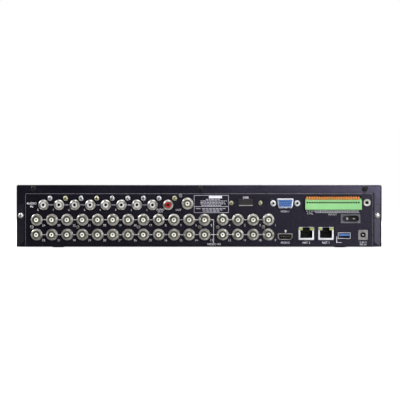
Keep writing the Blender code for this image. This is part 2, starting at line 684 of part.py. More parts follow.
def clock_battery():
    cell = turned([(0, 0), (9.2, 0), (10, 0.8), (10, 3.2), (0, 3.2)], 20)
    solid("clock_battery", placed(cell, None, (10, -84, MAIN_BOARD_TOP + GAP)), "nickel")


def drives():
    """Two drives, one above the other, in a folded cage."""
    width, length, height = DRIVE_SIZE
    for name, low in DRIVE_LEVELS.items():
        x = (DRIVE_X - width / 2, DRIVE_X + width / 2)
        body = block(x, (DRIVE_REAR, DRIVE_REAR + length), (low + 3, low + height))
        drive = solid(name, body, "aluminium")
        add(drive, block((x[0] + 4, x[1] - 4), (DRIVE_REAR + 6, DRIVE_REAR + length - 6),
                         (low, low + 4)))
        cut(drive, block((x[0] + 8, x[0] + 52), (DRIVE_REAR - 2, DRIVE_REAR + 3), (low + 1, low + 8)))
    half, top = width / 2 + 0.6, DRIVE_LEVELS["hard_drive_2"] + height + 0.6
    foot_out, floor = 8.0, BOTTOM + SHEET + GAP
    outer, inner = half + SHEET, half
    outline = [(-outer - foot_out, floor), (-inner, floor), (-inner, top), (inner, top), (inner, floor),
               (outer + foot_out, floor), (outer + foot_out, floor + SHEET), (outer, floor + SHEET),
               (outer, top + SHEET), (-outer, top + SHEET), (-outer, floor + SHEET),
               (-outer - foot_out, floor + SHEET)]
    cage = prism([(DRIVE_X + x, z) for x, z in outline], "Y", 22, 142)
    cage = solid("drive_cage", cage, "zinc_steel")
    windows = [block((DRIVE_X - 80, DRIVE_X + 80), (y - 18, y + 18), (low + 8, low + 19))
               for y in (52, 112) for low in DRIVE_LEVELS.values()]
    cut(cage, *windows)


def fan():
    """The side fan: frame with spokes, and the rotor that turns in it about X."""
    x, y, z = FAN_CENTRE
    half, deep = FAN_SIZE / 2, FAN_DEPTH / 2
    frame = solid("fan_frame", block((x - deep, x + deep), (y - half, y + half), (z - half, z + half)),
                  "black_plastic")
    along_x = Matrix.Rotation(math.radians(90), 4, "Y")
    bore = turned([(0, -20), (18.6, -20), (18.6, 20), (0, 20)], 24)
    cut(frame, placed(bore, along_x, FAN_CENTRE))
    hub = turned([(0, -deep), (9, -deep), (9, -deep + 2), (0, -deep + 2)], 16)
    add(frame, placed(hub, along_x, FAN_CENTRE))
    for angle in (30, 150, 270):
        spoke = block((x - deep + 0.1, x - deep + 1.9), (y - 1.2, y + 1.2), (z + 8, z + 19.2))
        turn = Matrix.Translation(Vector(FAN_CENTRE) * MM) @ Matrix.Rotation(math.radians(angle), 4, "X")
        turn = turn @ Matrix.Translation(-Vector(FAN_CENTRE) * MM)
        add(frame, placed(spoke, turn))
    rotor_hub = turned([(0, -4.8), (9.2, -4.8), (9.2, 5.2), (8.2, 6.2), (0, 6.2)], 16)
    rotor = solid("fan_rotor", placed(rotor_hub, along_x, FAN_CENTRE), "black_plastic", FAN_CENTRE)
    blades = []
    for index in range(7):
        blade = block((-0.5, 0.5), (-5.5, 5.5), (8.4, 17.6))
        lean = Matrix.Rotation(math.radians(42), 4, "Z")
        spin = Matrix.Rotation(2 * math.pi * index / 7, 4, "X")
        blades.append(placed(blade, spin @ lean, FAN_CENTRE))
    add(rotor, *blades)


def cables():
    """The flat cables that stay inside: to the front keys, and to the two drives."""
    key_end = KEY_BOARD_FRONT - BOARD - 2.6
    path = [(-67, 10.2), (-60, 10.4), (-52, 7.0), (-42, 4.6), (60, 4.2), (140, 4.4), (151, 10.5),
            (key_end - 6, 12.0), (key_end, 12.0)]
    solid("front_ribbon_cable", prism(strip_outline(smooth_path(path), 0.8), "X", 43, 63), "grey_cable")
    for number, (name, low) in enumerate(DRIVE_LEVELS.items(), 1):
        level, x = low + 4.5, DRIVE_X - 34
        path = [(-66 + 12 * number, MAIN_BOARD_TOP + 1.6 if number == 1 else 20.0),
                (-40, level + 5 * number), (-14, level + 1.5), (-4, level), (DRIVE_REAR + 2.4, level)]
        if number == 1:
            path[0] = (-66, MAIN_BOARD_TOP + 1.6)
        else:
            path[0] = (-66, MAIN_BOARD_TOP + 4.2)
        shift = 0 if number == 1 else 13
        solid(f"drive_{number}_data_cable",
              prism(strip_outline(smooth_path(path), 1.2), "X", x + shift - 4, x + shift + 4), "red_cable")


# --------------------------------------------------------------------------- front


def front_fascia():
    """The moulded front: a shallow tray with holes for the keys, the window and the ports."""
    shell = prism(rounded_outline(HALF, BODY_HEIGHT / 2, 3.0, 0, BOTTOM + BODY_HEIGHT / 2, 3), "Y",
                  COVER_FRONT + GAP, FACE)
    fascia = solid("front_fascia", shell, "dark_plastic")
    inside = prism(rounded_outline(HALF - FACE_WALL, BODY_HEIGHT / 2 - FACE_WALL, 1.5, 0,
                                   BOTTOM + BODY_HEIGHT / 2, 2), "Y", COVER_FRONT - 5, FACE - FACE_WALL)
    cut(fascia, inside)
    through = (FACE - 6, FACE + 4)

    def hole(x, z, half_x, half_z, radius, steps=2):
        grown = 0.35
        outline = rounded_outline(half_x + grown, half_z + grown, radius + grown, x, z, steps)
        return prism(outline, "Y", *through)

    holes = [hole(x, z, hx, hz, 1.5) for x, z, hx, hz in KEYS.values()]
    x, z, radius = ENTER_KEY
    holes.append(hole(x, z, radius, radius, radius - 0.01, 4))
    x, z, radius = POWER_BUTTON
    holes.append(hole(x, z, radius, radius, radius - 0.01, 4))
    holes += [block((x - 6.9, x + 6.9), through, (z - 3.4, z + 3.4)) for x, z in FRONT_USB]
    x, z, half_x, half_z = WINDOW
    holes.append(hole(x, z, half_x, half_z, 2.0, 3))
    cut(fascia, *holes)


def status_window():
    x, z, half_x, half_z = WINDOW
    pane = prism(rounded_outline(half_x, half_z, 2.0, x, z, 3), "Y", FACE - 2.0, FACE - 0.2)
    window = solid("status_window", pane, "window_plastic")
    add(window, prism(rounded_outline(half_x + 2, half_z + 2, 2.5, x, z, 3), "Y", FACE - FACE_WALL - 1.3,
                      FACE - FACE_WALL - GAP))
    add(window, prism(rounded_outline(half_x - 0.3, half_z - 0.3, 1.8, x, z, 3), "Y",
                      FACE - FACE_WALL - 0.8, FACE - 1.5))


def front_key_board():
    """The board behind the fascia, with one tactile switch behind each key."""
    face = KEY_BOARD_FRONT
    board = solid("front_key_board", block((-178, 70), (face - BOARD, face), (9, 58)), "circuit_board")
    places = [(x, z) for x, z, _, _ in KEYS.values()] + [ENTER_KEY[:2], POWER_BUTTON[:2]]
    add(board, *[block((x - 3, x + 3), (face - 0.3, face + 3.5), (z - 3, z + 3)) for x, z in places])
    add(board, block((42, 64), (face - BOARD - 2.3, face - BOARD + 0.3), (10, 14)))


def key_cap(name, outline_at, x, z):
    """A key: the cap that shows, the flange that keeps it in, and the stem behind."""
    back = FACE - FACE_WALL - GAP
    cap = solid(name, prism(outline_at(0), "Y", back - 0.6, FACE + KEY_REACH), "dark_plastic", (x, FACE, z))
    add(cap, prism(outline_at(0.8), "Y", back - 1.2, back))
    add(cap, frontward(turned([(0, 0), (1.6, 0), (1.6, 1.2), (0, 1.2)], 8), x, z, back - 2.0))


def front_keys():
    for name, (x, z, half_x, half_z) in KEYS.items():
        key_cap(name, lambda grow, x=x, z=z, a=half_x, b=half_z:
                rounded_outline(a + grow, b + grow, 1.5, x, z, 2), x, z)
    for name, (x, z, radius) in (("enter_key", ENTER_KEY), ("power_button", POWER_BUTTON)):
        key_cap(name, lambda grow, x=x, z=z, r=radius:
                rounded_outline(r + grow, r + grow, r + grow - 0.01, x, z, 4), x, z)


def front_usb_ports():
    """Two sockets side by side on one carrier."""
    first, last = FRONT_USB[0], FRONT_USB[-1]
    carrier = block((first[0] - 6.55, last[0] + 6.55), (FACE - 7.6, FACE - 6.2),
                    (first[1] - 3.1, first[1] + 3.1))
    ports = solid("front_usb_ports", carrier, "zinc_steel")
    for x, z in FRONT_USB:
        add(ports, block((x - 6.55, x + 6.55), (FACE - 7, FACE - 0.4), (z - 3.1, z + 3.1)))
        cut(ports, block((x - 6.1, x + 6.1), (FACE - 6.6, FACE + 1), (z - 2.65, z + 2.65)))
        add(ports, block((x - 5.4, x + 5.4), (FACE - 7.0, FACE - 1.6), (z + 0.1, z + 1.9)))


def main():
    for old in list(bpy.data.objects):
        bpy.data.objects.remove(old)
    top_cover()
    base_chassis()
    rear_panel()
    for name, x in COVER_SCREWS.items():
        pan_screw(name, x, COVER_SCREW_LEVEL, 3.2, "black_screw")
    for name, x in SIDE_SCREWS.items():
        pan_screw(name, x, SIDE_SCREW_LEVEL, 3.05, "zinc_steel")
    for name, x, y in (("foot_rear_left", -150, REAR + 84), ("foot_rear_right", 150, REAR + 84),
                       ("foot_front_left", -150, 124), ("foot_front_right", 150, 124)):
        foot(name, x, y)
    columns = bnc_columns()
    for number in range(4):
        start = number * BNC_BLOCK_COLUMNS
        bnc_block(f"video_input_block_{number + 1}", columns[start:start + BNC_BLOCK_COLUMNS])
    monitor_bnc()
    audio_jacks()
    drive_port()
    dsub_port()
    terminal_block()
    mini_jack()
    power_switch()
    shell_port("digital_monitor_port", *DIGITAL_PORT, 7.5, 3.2, 0.6, 11, 0.5, (5.6, -0.6, 0.7), "zinc_steel")
    shell_port("rear_usb_port", *USB_PORT, 6.6, 3.3, 0.9, 14, 0.5, (5.5, 0.1, 2.1), "zinc_steel")
    for name, x in NETWORK_X.items():
        network_port(name, x)
    dc_inlet()
    boards()
    heatsink()
    clock_battery()
    drives()
    fan()
    cables()
    front_fascia()
    status_window()
    front_key_board()
    front_keys()
    front_usb_ports()


main()
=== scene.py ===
"""Looks for the video recorder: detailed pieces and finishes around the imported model.

Lengths are in millimetres until a mesh is made. The rear panel faces -Y, the fascia +Y.
"""

import math

import bmesh
import bpy
from mathutils import Matrix, Vector


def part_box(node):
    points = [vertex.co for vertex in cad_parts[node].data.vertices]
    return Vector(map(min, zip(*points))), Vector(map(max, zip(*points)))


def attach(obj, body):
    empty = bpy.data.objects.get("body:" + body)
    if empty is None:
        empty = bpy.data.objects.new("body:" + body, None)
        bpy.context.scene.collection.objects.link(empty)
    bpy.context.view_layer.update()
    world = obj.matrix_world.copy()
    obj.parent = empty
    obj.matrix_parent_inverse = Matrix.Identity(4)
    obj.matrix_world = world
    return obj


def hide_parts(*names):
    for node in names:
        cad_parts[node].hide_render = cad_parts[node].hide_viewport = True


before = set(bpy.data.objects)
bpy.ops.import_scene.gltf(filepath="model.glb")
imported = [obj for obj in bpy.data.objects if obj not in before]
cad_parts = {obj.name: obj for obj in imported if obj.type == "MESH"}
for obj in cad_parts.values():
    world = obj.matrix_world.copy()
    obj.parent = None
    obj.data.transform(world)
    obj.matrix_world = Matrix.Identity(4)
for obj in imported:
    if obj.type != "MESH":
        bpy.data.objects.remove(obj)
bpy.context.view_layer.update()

MM = 0.001
CASE = "recorder_case"
INK_RISE = 0.04


def span(node):
    """A CAD node's lowest and highest corners, in millimetres."""
    low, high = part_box(node)
    return low / MM, high / MM


def centre(node):
    low, high = span(node)
    return (low + high) / 2


REAR = span("rear_panel")[0].y
FACE = span("front_fascia")[1].y
TOP = span("top_cover")[1].z
BOTTOM = span("top_cover")[0].z
HALF = span("top_cover")[1].x
TIP = REAR - span("video_input_block_1")[0].y
FIELD_HALF = 181.2
FIELD_TOP = 57.6
FLANGE_LOW = TOP - 8.4
STEP_X = HALF - 7.6
BASE_WALL_TOP = 46.0


# --------------------------------------------------------------------------- shader groups


def put(tree, kind, values=None, **settings):
    """A node with its settings made and its sockets filled or linked."""
    node = tree.nodes.new("ShaderNode" + kind)
    for name, value in settings.items():
        setattr(node, name, value)
    for name, value in (values or {}).items():
        if isinstance(value, bpy.types.NodeSocket):
            tree.links.new(value, node.inputs[name])
        else:
            node.inputs[name].default_value = value
    return node


def effect(name, inputs, outputs, build):
    """A shader node group with named number sockets."""
    tree = bpy.data.node_groups.new(name, "ShaderNodeTree")
    for label, default in inputs.items():
        made = tree.interface.new_socket(label, in_out="INPUT", socket_type="NodeSocketFloat")
        made.default_value = default
    for label in outputs:
        tree.interface.new_socket(label, in_out="OUTPUT", socket_type="NodeSocketFloat")
    entry = tree.nodes.new("NodeGroupInput")
    leave = tree.nodes.new("NodeGroupOutput")
    for label, result in build(tree, entry.outputs).items():
        tree.links.new(result, leave.inputs[label])
    return tree


def ramp(tree, value, low, high, to_low=0.0, to_high=1.0):
    """A value carried from one range to another and held inside it."""
    node = put(tree, "MapRange", {"Value": value, "From Min": low, "From Max": high,
                                  "To Min": to_low, "To Max": to_high}, clamp=True)
    return node.outputs["Result"]


def times(tree, first, second):
    return put(tree, "Math", {0: first, 1: second}, operation="MULTIPLY").outputs[0]


def noise(tree, coordinates, scale, detail=2.0, roughness=0.55):
    node = put(tree, "TexNoise", {"Vector": coordinates, "Scale": scale, "Detail": detail,
                                  "Roughness": roughness})
    return node.outputs["Fac"]


def grain_effect(tree, given):
    """The texture of a sprayed coat or a moulded skin."""
    where = put(tree, "TexCoord").outputs["Object"]
    coarse = noise(tree, where, given["Scale"], 2.0)
    return {"Height": ramp(tree, coarse, 0.3, 0.7), "Fleck": ramp(tree, coarse, 0.56, 0.72)}


def mottle_effect(tree, given):
    """Slow changes of tone and of gloss, as handling and dust leave them."""
    where = put(tree, "TexCoord").outputs["Object"]
    finer = times(tree, given["Scale"], 3.7)
    return {"Tone": ramp(tree, noise(tree, where, given["Scale"], 3.0), 0.32, 0.68),
            "Gloss": ramp(tree, noise(tree, where, finer, 3.0), 0.3, 0.7)}


def streak_effect(tree, given):
    """Fine parallel lines, as brushing or rolling leaves them along X."""
    where = put(tree, "TexCoord").outputs["Object"]
    long = put(tree, "Mapping", {"Vector": where, "Scale": (0.04, 1.0, 1.0)}).outputs["Vector"]
    return {"Height": ramp(tree, noise(tree, long, given["Scale"], 3.0, 0.7), 0.25, 0.75)}


def scuff_effect(tree, given):
    """A few thin scratches that run at a slant."""
    where = put(tree, "TexCoord").outputs["Object"]
    slant = put(tree, "Mapping", {"Vector": where, "Rotation": (0.5, 0.7, 0.3),
                                  "Scale": (0.12, 1.0, 1.6)}).outputs["Vector"]
    lines = noise(tree, slant, given["Scale"], 4.0, 0.75)
    patches = ramp(tree, noise(tree, where, 38.0, 1.0), 0.5, 0.62)
    return {"Mask": times(tree, ramp(tree, lines, 0.66, 0.74), patches)}


def wear_effect(tree, given):
    """Edges rubbed brighter."""
    where = put(tree, "TexCoord").outputs["Object"]
    edges = ramp(tree, put(tree, "NewGeometry").outputs["Pointiness"], 0.53, 0.6)
    broken = ramp(tree, noise(tree, where, given["Scale"], 3.0), 0.35, 0.65)
    return {"Mask": times(tree, edges, broken)}


EFFECTS = {
    "grain": effect("fine grain", {"Scale": 900.0}, ("Height", "Fleck"), grain_effect),
    "mottle": effect("mottled tone", {"Scale": 14.0}, ("Tone", "Gloss"), mottle_effect),
    "streaks": effect("brushed streaks", {"Scale": 900.0}, ("Height",), streak_effect),
    "scuffs": effect("thin scuffs", {"Scale": 420.0}, ("Mask",), scuff_effect),
    "wear": effect("rubbed edges", {"Scale": 90.0}, ("Mask",), wear_effect),
}


def placed_effect(tree, name, scale):
    node = tree.nodes.new("ShaderNodeGroup")
    node.node_tree = EFFECTS[name]
    node.inputs["Scale"].default_value = scale
    return node.outputs


def blend_tone(tree, factor, first, second, mode="MIX"):
    node = put(tree, "Mix", {0: factor, 6: first, 7: second}, data_type="RGBA", blend_type=mode)
    return node.outputs[2]


def tone(red, green, blue):
    return (red, green, blue, 1.0)


# --------------------------------------------------------------------------- finishes


def finish(name, light, dark, gloss, metallic=0.0, specular=0.5, grain=900.0, depth=0.02,
           mottle=14.0, fleck=None, wear=None, scuffs=None, streaks=None, coat=0.0, sheen_tone=None,
           extra=None):
    """A material: two tones that drift into each other, roughness between two values, fine relief."""
    made = bpy.data.materials.new(name)
    made.use_nodes = True
    tree = made.node_tree
    shader = tree.nodes["Principled BSDF"]
    slow = placed_effect(tree, "mottle", mottle)
    fine = placed_effect(tree, "grain", grain)
    colour = blend_tone(tree, slow["Tone"], tone(*light), tone(*dark))
    roughness = ramp(tree, slow["Gloss"], 0.0, 1.0, *gloss)
    height = fine["Height"]
    if fleck:
        colour = blend_tone(tree, fine["Fleck"], colour, tone(*fleck))
    if extra:
        colour = extra(tree, colour)
    if wear:
        colour = blend_tone(tree, placed_effect(tree, "wear", 90.0)["Mask"], colour, tone(*wear))
    if scuffs:
        mask = placed_effect(tree, "scuffs", 420.0)["Mask"]
        colour = blend_tone(tree, mask, colour, tone(*scuffs))
        roughness = put(tree, "Math", {0: roughness, 1: times(tree, mask, 0.25)}, operation="ADD").outputs[0]
    if streaks:
        height = placed_effect(tree, "streaks", streaks)["Height"]
    bump = put(tree, "Bump", {"Height": height, "Distance": depth * MM, "Strength": 1.0})
    tree.links.new(colour, shader.inputs["Base Color"])
    tree.links.new(roughness, shader.inputs["Roughness"])
    tree.links.new(bump.outputs["Normal"], shader.inputs["Normal"])
    shader.inputs["Metallic"].default_value = metallic
    shader.inputs["Specular IOR Level"].default_value = specular
    shader.inputs["Coat Weight"].default_value = coat
    if sheen_tone:
        shader.inputs["Specular Tint"].default_value = tone(*sheen_tone)
    shader.inputs["Coat Roughness"].default_value = 0.12
    return made


def board_tracks(tree, colour):
    """Copper tracks and pads that show through the solder mask."""
    where = put(tree, "TexCoord").outputs["Object"]
    cells = put(tree, "TexVoronoi", {"Vector": where, "Scale": 260.0}, distance="MANHATTAN",
                feature="F1").outputs["Distance"]
    tracks = ramp(tree, cells, 0.42, 0.46)
    pads = ramp(tree, put(tree, "TexVoronoi", {"Vector": where, "Scale": 330.0},
                          feature="F1").outputs["Distance"], 0.16, 0.12)
    tracked = blend_tone(tree, tracks, colour, tone(0.03, 0.20, 0.08))
    return blend_tone(tree, pads, tracked, tone(0.42, 0.36, 0.20))


def ribbon_wires(tree, colour):
    """The parallel wires of a flat cable, side by side across X."""
    where = put(tree, "TexCoord").outputs["Object"]
    wires = put(tree, "TexWave", {"Vector": where, "Scale": 125.0}, wave_type="BANDS",
                bands_direction="X").outputs["Fac"]
    return blend_tone(tree, ramp(tree, wires, 0.0, 0.45, 0.7, 0.0), colour, tone(0.10, 0.10, 0.11))


def moulding_speckle(tree, colour):
    """Glass-fibre specks in a filled plastic."""
    where = put(tree, "TexCoord").outputs["Object"]
    specks = ramp(tree, noise(tree, where, 2600.0, 1.0), 0.68, 0.76)
    return blend_tone(tree, specks, colour, tone(0.07, 0.07, 0.08))


FINISHES = {
    "cover_coat": finish("black powder coat on the cover", (0.0028, 0.0024, 0.0044), (0.0020, 0.0017, 0.0033),
                         (0.17, 0.21), specular=0.50, grain=1500.0, depth=0.006, mottle=9.0,
                         fleck=(0.004, 0.0036, 0.006), sheen_tone=(0.72, 0.66, 1.0)),
    "panel_coat": finish("black powder coat on the panel", (0.0026, 0.0021, 0.0038), (0.0018, 0.0015, 0.0028),
                         (0.24, 0.29), specular=0.24, grain=1500.0, depth=0.010, mottle=11.0,
                         fleck=(0.004, 0.0036, 0.006), sheen_tone=(0.74, 0.68, 1.0)),
    # Painted highlight: a much lighter, glossier copy of the black coat for the plate's outer bends, standing for the
    # light they catch from above.
    "bend_highlight_coat": finish("black powder coat with painted highlight on the bends", (0.085, 0.079, 0.100), (0.058, 0.053, 0.070),
                        (0.24, 0.32), specular=0.70, grain=1500.0, depth=0.006, mottle=30.0),
    "tray_coat": finish("black powder coat on the tray", (0.0048, 0.0044, 0.0066), (0.0034, 0.0031, 0.0050),
                        (0.20, 0.25), specular=0.55, grain=1500.0, depth=0.008, mottle=11.0,
                        fleck=(0.008, 0.007, 0.010), sheen_tone=(0.78, 0.74, 1.0)),
    "nickel": finish("nickel plate", (0.98, 0.96, 0.91), (0.44, 0.42, 0.38), (0.22, 0.46), metallic=1.0,
                     grain=700.0, depth=0.012, mottle=260.0, scuffs=(0.55, 0.52, 0.47)),
    "dull_nickel": finish("dull nickel plate", (0.46, 0.42, 0.42), (0.34, 0.31, 0.31), (0.34, 0.46), metallic=1.0,
                          grain=700.0, depth=0.008, mottle=150.0),
    # Painted shade: a darkened copy of the nickel plate, for the bore linings and the cross recesses of the bright
    # screws.
    "painted_shade_nickel": finish("nickel plate darkened as painted shade", (0.30, 0.29, 0.24), (0.22, 0.21, 0.17), (0.26, 0.36), metallic=1.0,
                          grain=700.0, depth=0.006, mottle=150.0),
    "zinc": finish("zinc plate", (0.80, 0.80, 0.82), (0.68, 0.69, 0.72), (0.24, 0.38), metallic=1.0,
                   grain=600.0, depth=0.006, mottle=40.0, scuffs=(0.50, 0.50, 0.52)),
    "yellow_zinc": finish("yellow chromated zinc", (0.66, 0.63, 0.40), (0.50, 0.49, 0.33), (0.28, 0.40),
                          metallic=1.0, grain=600.0, depth=0.006, mottle=160.0),
    "steel": finish("rolled steel", (0.62, 0.63, 0.65), (0.50, 0.51, 0.54), (0.32, 0.45), metallic=1.0,
                    depth=0.004, mottle=20.0, streaks=900.0),
    "aluminium": finish("satin aluminium", (0.78, 0.79, 0.80), (0.66, 0.67, 0.69), (0.30, 0.42), metallic=1.0,
                        depth=0.004, mottle=20.0, streaks=700.0),
    "black_screw": finish("black oxide", (0.020, 0.020, 0.023), (0.012, 0.012, 0.015), (0.28, 0.42),
                          metallic=0.6, grain=500.0, depth=0.006, mottle=80.0, wear=(0.11, 0.11, 0.12)),
    "gold": finish("gold plate", (0.95, 0.70, 0.32), (0.80, 0.56, 0.24), (0.20, 0.32), metallic=1.0,
                   grain=600.0, depth=0.003, mottle=120.0),
    "white_insulator": finish("milky insulator", (0.90, 0.89, 0.82), (0.82, 0.81, 0.73), (0.35, 0.48),
                              grain=500.0, depth=0.006, mottle=70.0),
    "white_plastic": finish("white moulding", (0.86, 0.86, 0.85), (0.80, 0.80, 0.78), (0.28, 0.40),
                            grain=500.0, depth=0.004, mottle=60.0, coat=0.2),
    "red_plastic": finish("red moulding", (0.62, 0.035, 0.035), (0.50, 0.022, 0.026), (0.25, 0.38),
                          grain=500.0, depth=0.004, mottle=60.0, coat=0.2),
    "blue_plastic": finish("blue moulding", (0.050, 0.17, 0.50), (0.036, 0.125, 0.41), (0.32, 0.44),
                           grain=900.0, depth=0.006, mottle=60.0),
    "green_plastic": finish("pale green moulding", (0.28, 0.63, 0.245), (0.235, 0.57, 0.215), (0.36, 0.50),
                            grain=800.0, depth=0.012, mottle=40.0),
    "orange_plastic": finish("orange moulding", (0.84, 0.30, 0.055), (0.72, 0.23, 0.035), (0.30, 0.44),
                             grain=800.0, depth=0.008, mottle=60.0),
    # Painted shade: a darkened copy of the orange moulding, for the bar that shows in the gaps between the levers.
    "painted_shade_orange": finish("orange moulding darkened as painted shade", (0.26, 0.055, 0.012), (0.19, 0.038, 0.008), (0.40, 0.52),
                          grain=800.0, depth=0.008, mottle=60.0),
    "black_plastic": finish("black moulding", (0.012, 0.011, 0.014), (0.008, 0.0075, 0.010), (0.40, 0.54),
                            grain=1100.0, depth=0.014, mottle=40.0, extra=moulding_speckle),
    "inlet_plastic": finish("grey moulding", (0.155, 0.150, 0.155), (0.115, 0.110, 0.118), (0.36, 0.48),
                            grain=1100.0, depth=0.012, mottle=90.0, wear=(0.34, 0.33, 0.34)),
    "switch_plastic": finish("dark grey moulding", (0.170, 0.160, 0.205), (0.135, 0.127, 0.165), (0.32, 0.44),
                             grain=1100.0, depth=0.010, mottle=40.0, wear=(0.12, 0.12, 0.13)),
    "fascia_plastic": finish("moulded fascia", (0.028, 0.028, 0.033), (0.021, 0.021, 0.025), (0.36, 0.46),
                             grain=1300.0, depth=0.016, mottle=10.0, wear=(0.05, 0.05, 0.055)),
    "key_plastic": finish("moulded key caps", (0.095, 0.095, 0.102), (0.078, 0.078, 0.085), (0.30, 0.40),
                          grain=1100.0, depth=0.008, mottle=50.0, wear=(0.12, 0.12, 0.12)),
    "window_plastic": finish("smoked window", (0.012, 0.007, 0.009), (0.009, 0.005, 0.007), (0.05, 0.10),
                             grain=300.0, depth=0.001, mottle=16.0, coat=0.6, scuffs=(0.03, 0.03, 0.03)),
    "lamp_window": finish("indicator lens", (0.44, 0.50, 0.07), (0.35, 0.43, 0.055), (0.16, 0.28),
                          grain=900.0, depth=0.004, mottle=120.0, coat=0.5),
    "blue_lamp": finish("blue indicator lens", (0.10, 0.30, 0.80), (0.07, 0.24, 0.70), (0.16, 0.28),
                        grain=900.0, depth=0.004, mottle=120.0, coat=0.5),
    "ink": finish("printed ink", (0.86, 0.85, 0.90), (0.74, 0.73, 0.79), (0.50, 0.62), grain=1800.0,
                  depth=0.006, mottle=120.0),
    "faint_ink": finish("thin printed ink", (0.44, 0.43, 0.49), (0.36, 0.35, 0.41), (0.50, 0.62),
                        grain=1800.0, depth=0.006, mottle=120.0),
    "board": finish("solder mask", (0.012, 0.085, 0.035), (0.010, 0.065, 0.028), (0.22, 0.34),
                    grain=900.0, depth=0.006, mottle=30.0, coat=0.3, extra=board_tracks),
    "rubber": finish("rubber", (0.018, 0.018, 0.018), (0.012, 0.012, 0.012), (0.72, 0.86), grain=1200.0,
                     depth=0.02, mottle=60.0),
    "grey_cable": finish("flat ribbon insulation", (0.46, 0.47, 0.49), (0.40, 0.41, 0.43), (0.42, 0.55),
                         grain=900.0, depth=0.01, mottle=30.0, extra=ribbon_wires),
    "red_cable": finish("red cable jacket", (0.52, 0.045, 0.04), (0.42, 0.03, 0.03), (0.40, 0.52),
                        grain=900.0, depth=0.008, mottle=30.0),
    # Partly the own black of linings and the display, partly painted shade: the same finish fills bores, throats, screw
    # recesses and contacts deep in their sockets.
    "deep_black": finish("dark socket lining and painted shade in bores and recesses", (0.006, 0.006, 0.007), (0.004, 0.004, 0.005), (0.55, 0.7),
                         grain=900.0, depth=0.006, mottle=60.0, specular=0.25),
}


# --------------------------------------------------------------------------- hand tools


def clear():
    """Leaves edit mode and deselects everything."""
    if bpy.context.mode != "OBJECT":
        bpy.ops.object.mode_set(mode="OBJECT")
    bpy.ops.object.select_all(action="DESELECT")


def alone(piece):
    clear()
    piece.select_set(True)
    bpy.context.view_layer.objects.active = piece
    return piece


def settle(piece):
    """Moves the object's place and turn into its mesh."""
    alone(piece)
    bpy.ops.object.transform_apply(location=True, rotation=True, scale=True)
    return piece


def edit(piece, kind="FACE"):
    alone(piece)
    bpy.ops.object.mode_set(mode="EDIT")
    bpy.ops.mesh.select_mode(type=kind)
    bpy.ops.mesh.select_all(action="DESELECT")
    return bmesh.from_edit_mesh(piece.data)


def face_outwards(piece):
    edit(piece)
    bpy.ops.mesh.select_all(action="SELECT")
    bpy.ops.mesh.remove_doubles(threshold=0.000001)
    bpy.ops.mesh.normals_make_consistent(inside=False)
    clear()
    return piece


def pick(piece, kind, wanted):
    """Enters edit mode with the faces or edges selected for which wanted(item) is true."""
    mesh = edit(piece, kind)
    for item in (mesh.faces if kind == "FACE" else mesh.edges):
        item.select_set(bool(wanted(item)))
    mesh.select_flush_mode()
    bmesh.update_edit_mesh(piece.data)
    return mesh


def applied(piece, kind, **settings):
    """A modifier made, set and applied."""
    alone(piece)
    step = piece.modifiers.new(kind.lower(), kind)
    for name, value in settings.items():
        setattr(step, name, value)
    bpy.ops.object.modifier_apply(modifier=step.name)
    return piece


def softened(piece, width, segments=2, angle=32.0):
    """Rounds every edge that is sharper than the angle."""
    return applied(piece, "BEVEL", width=width * MM, segments=segments, limit_method="ANGLE",
                   angle_limit=math.radians(angle), use_clamp_overlap=True, miter_outer="MITER_ARC")


def without(piece, *tools):
    """Cuts the tools out of the piece, and throws the tools away."""
    tool = joined(tools) if len(tools) > 1 else tools[0]
    applied(piece, "BOOLEAN", operation="DIFFERENCE", solver="EXACT", object=tool)
    bpy.data.objects.remove(tool)
    return piece


def joined(pieces):
    clear()
    for piece in pieces:
        piece.select_set(True)
    bpy.context.view_layer.objects.active = pieces[0]
    if len(pieces) > 1:
        bpy.ops.object.join()
    return pieces[0]


def copied(piece, shift, name=None):
    """A copy with its own mesh, moved by a vector in millimetres."""
    twin = piece.copy()
    twin.data = piece.data.copy()
    bpy.context.scene.collection.objects.link(twin)
    twin.data.transform(Matrix.Translation(Vector(shift) * MM))
    twin.name = name or piece.name
    return twin


def turned_about(piece, angle, axis, pivot):
    """Turns the piece's mesh by degrees about an axis through a point."""
    place = Matrix.Translation(Vector(pivot) * MM)
    piece.data.transform(place @ Matrix.Rotation(math.radians(angle), 4, axis) @ place.inverted())
    return piece


def slab(x, y, z, soft=0.0, segments=2):
    """A block between pairs of limits, with soft edges if asked."""
    clear()
    limits = (x, y, z)
    middle = [(low + high) / 2 * MM for low, high in limits]
    size = [(high - low) * MM for low, high in limits]
    bpy.ops.mesh.primitive_cube_add(size=1.0, location=middle, scale=size)
    piece = settle(bpy.context.object)
    return softened(piece, soft, segments) if soft else piece


def rounded_slab(x, y, z, radius, axis="Y", segments=4, lower=None, soft=0.0):
    """A block whose edges along one axis are rounded; lower sets another radius for the lower pair."""
    piece = slab(x, y, z)
    along = "XYZ".index(axis)
    middle = (z[0] + z[1]) / 2 * MM

    def wanted(edge, bottom):
        first, second = (corner.co for corner in edge.verts)
        straight = abs((first - second)[along]) > 1e-6 and (first - second).length > 1e-6
        others = [abs((first - second)[n]) < 1e-7 for n in range(3) if n != along]
        return straight and all(others) and (bottom is None or (first.z < middle) == bottom)

    for bottom, (width, steps) in (((None, (radius, segments)),) if lower is None
                                   else ((False, (radius, segments)), (True, lower))):
        pick(piece, "EDGE", lambda edge: wanted(edge, bottom))
        bpy.ops.mesh.bevel(offset=width * MM, segments=steps, affect="EDGES")
    clear()
    return softened(piece, soft, 2, 50.0) if soft else piece


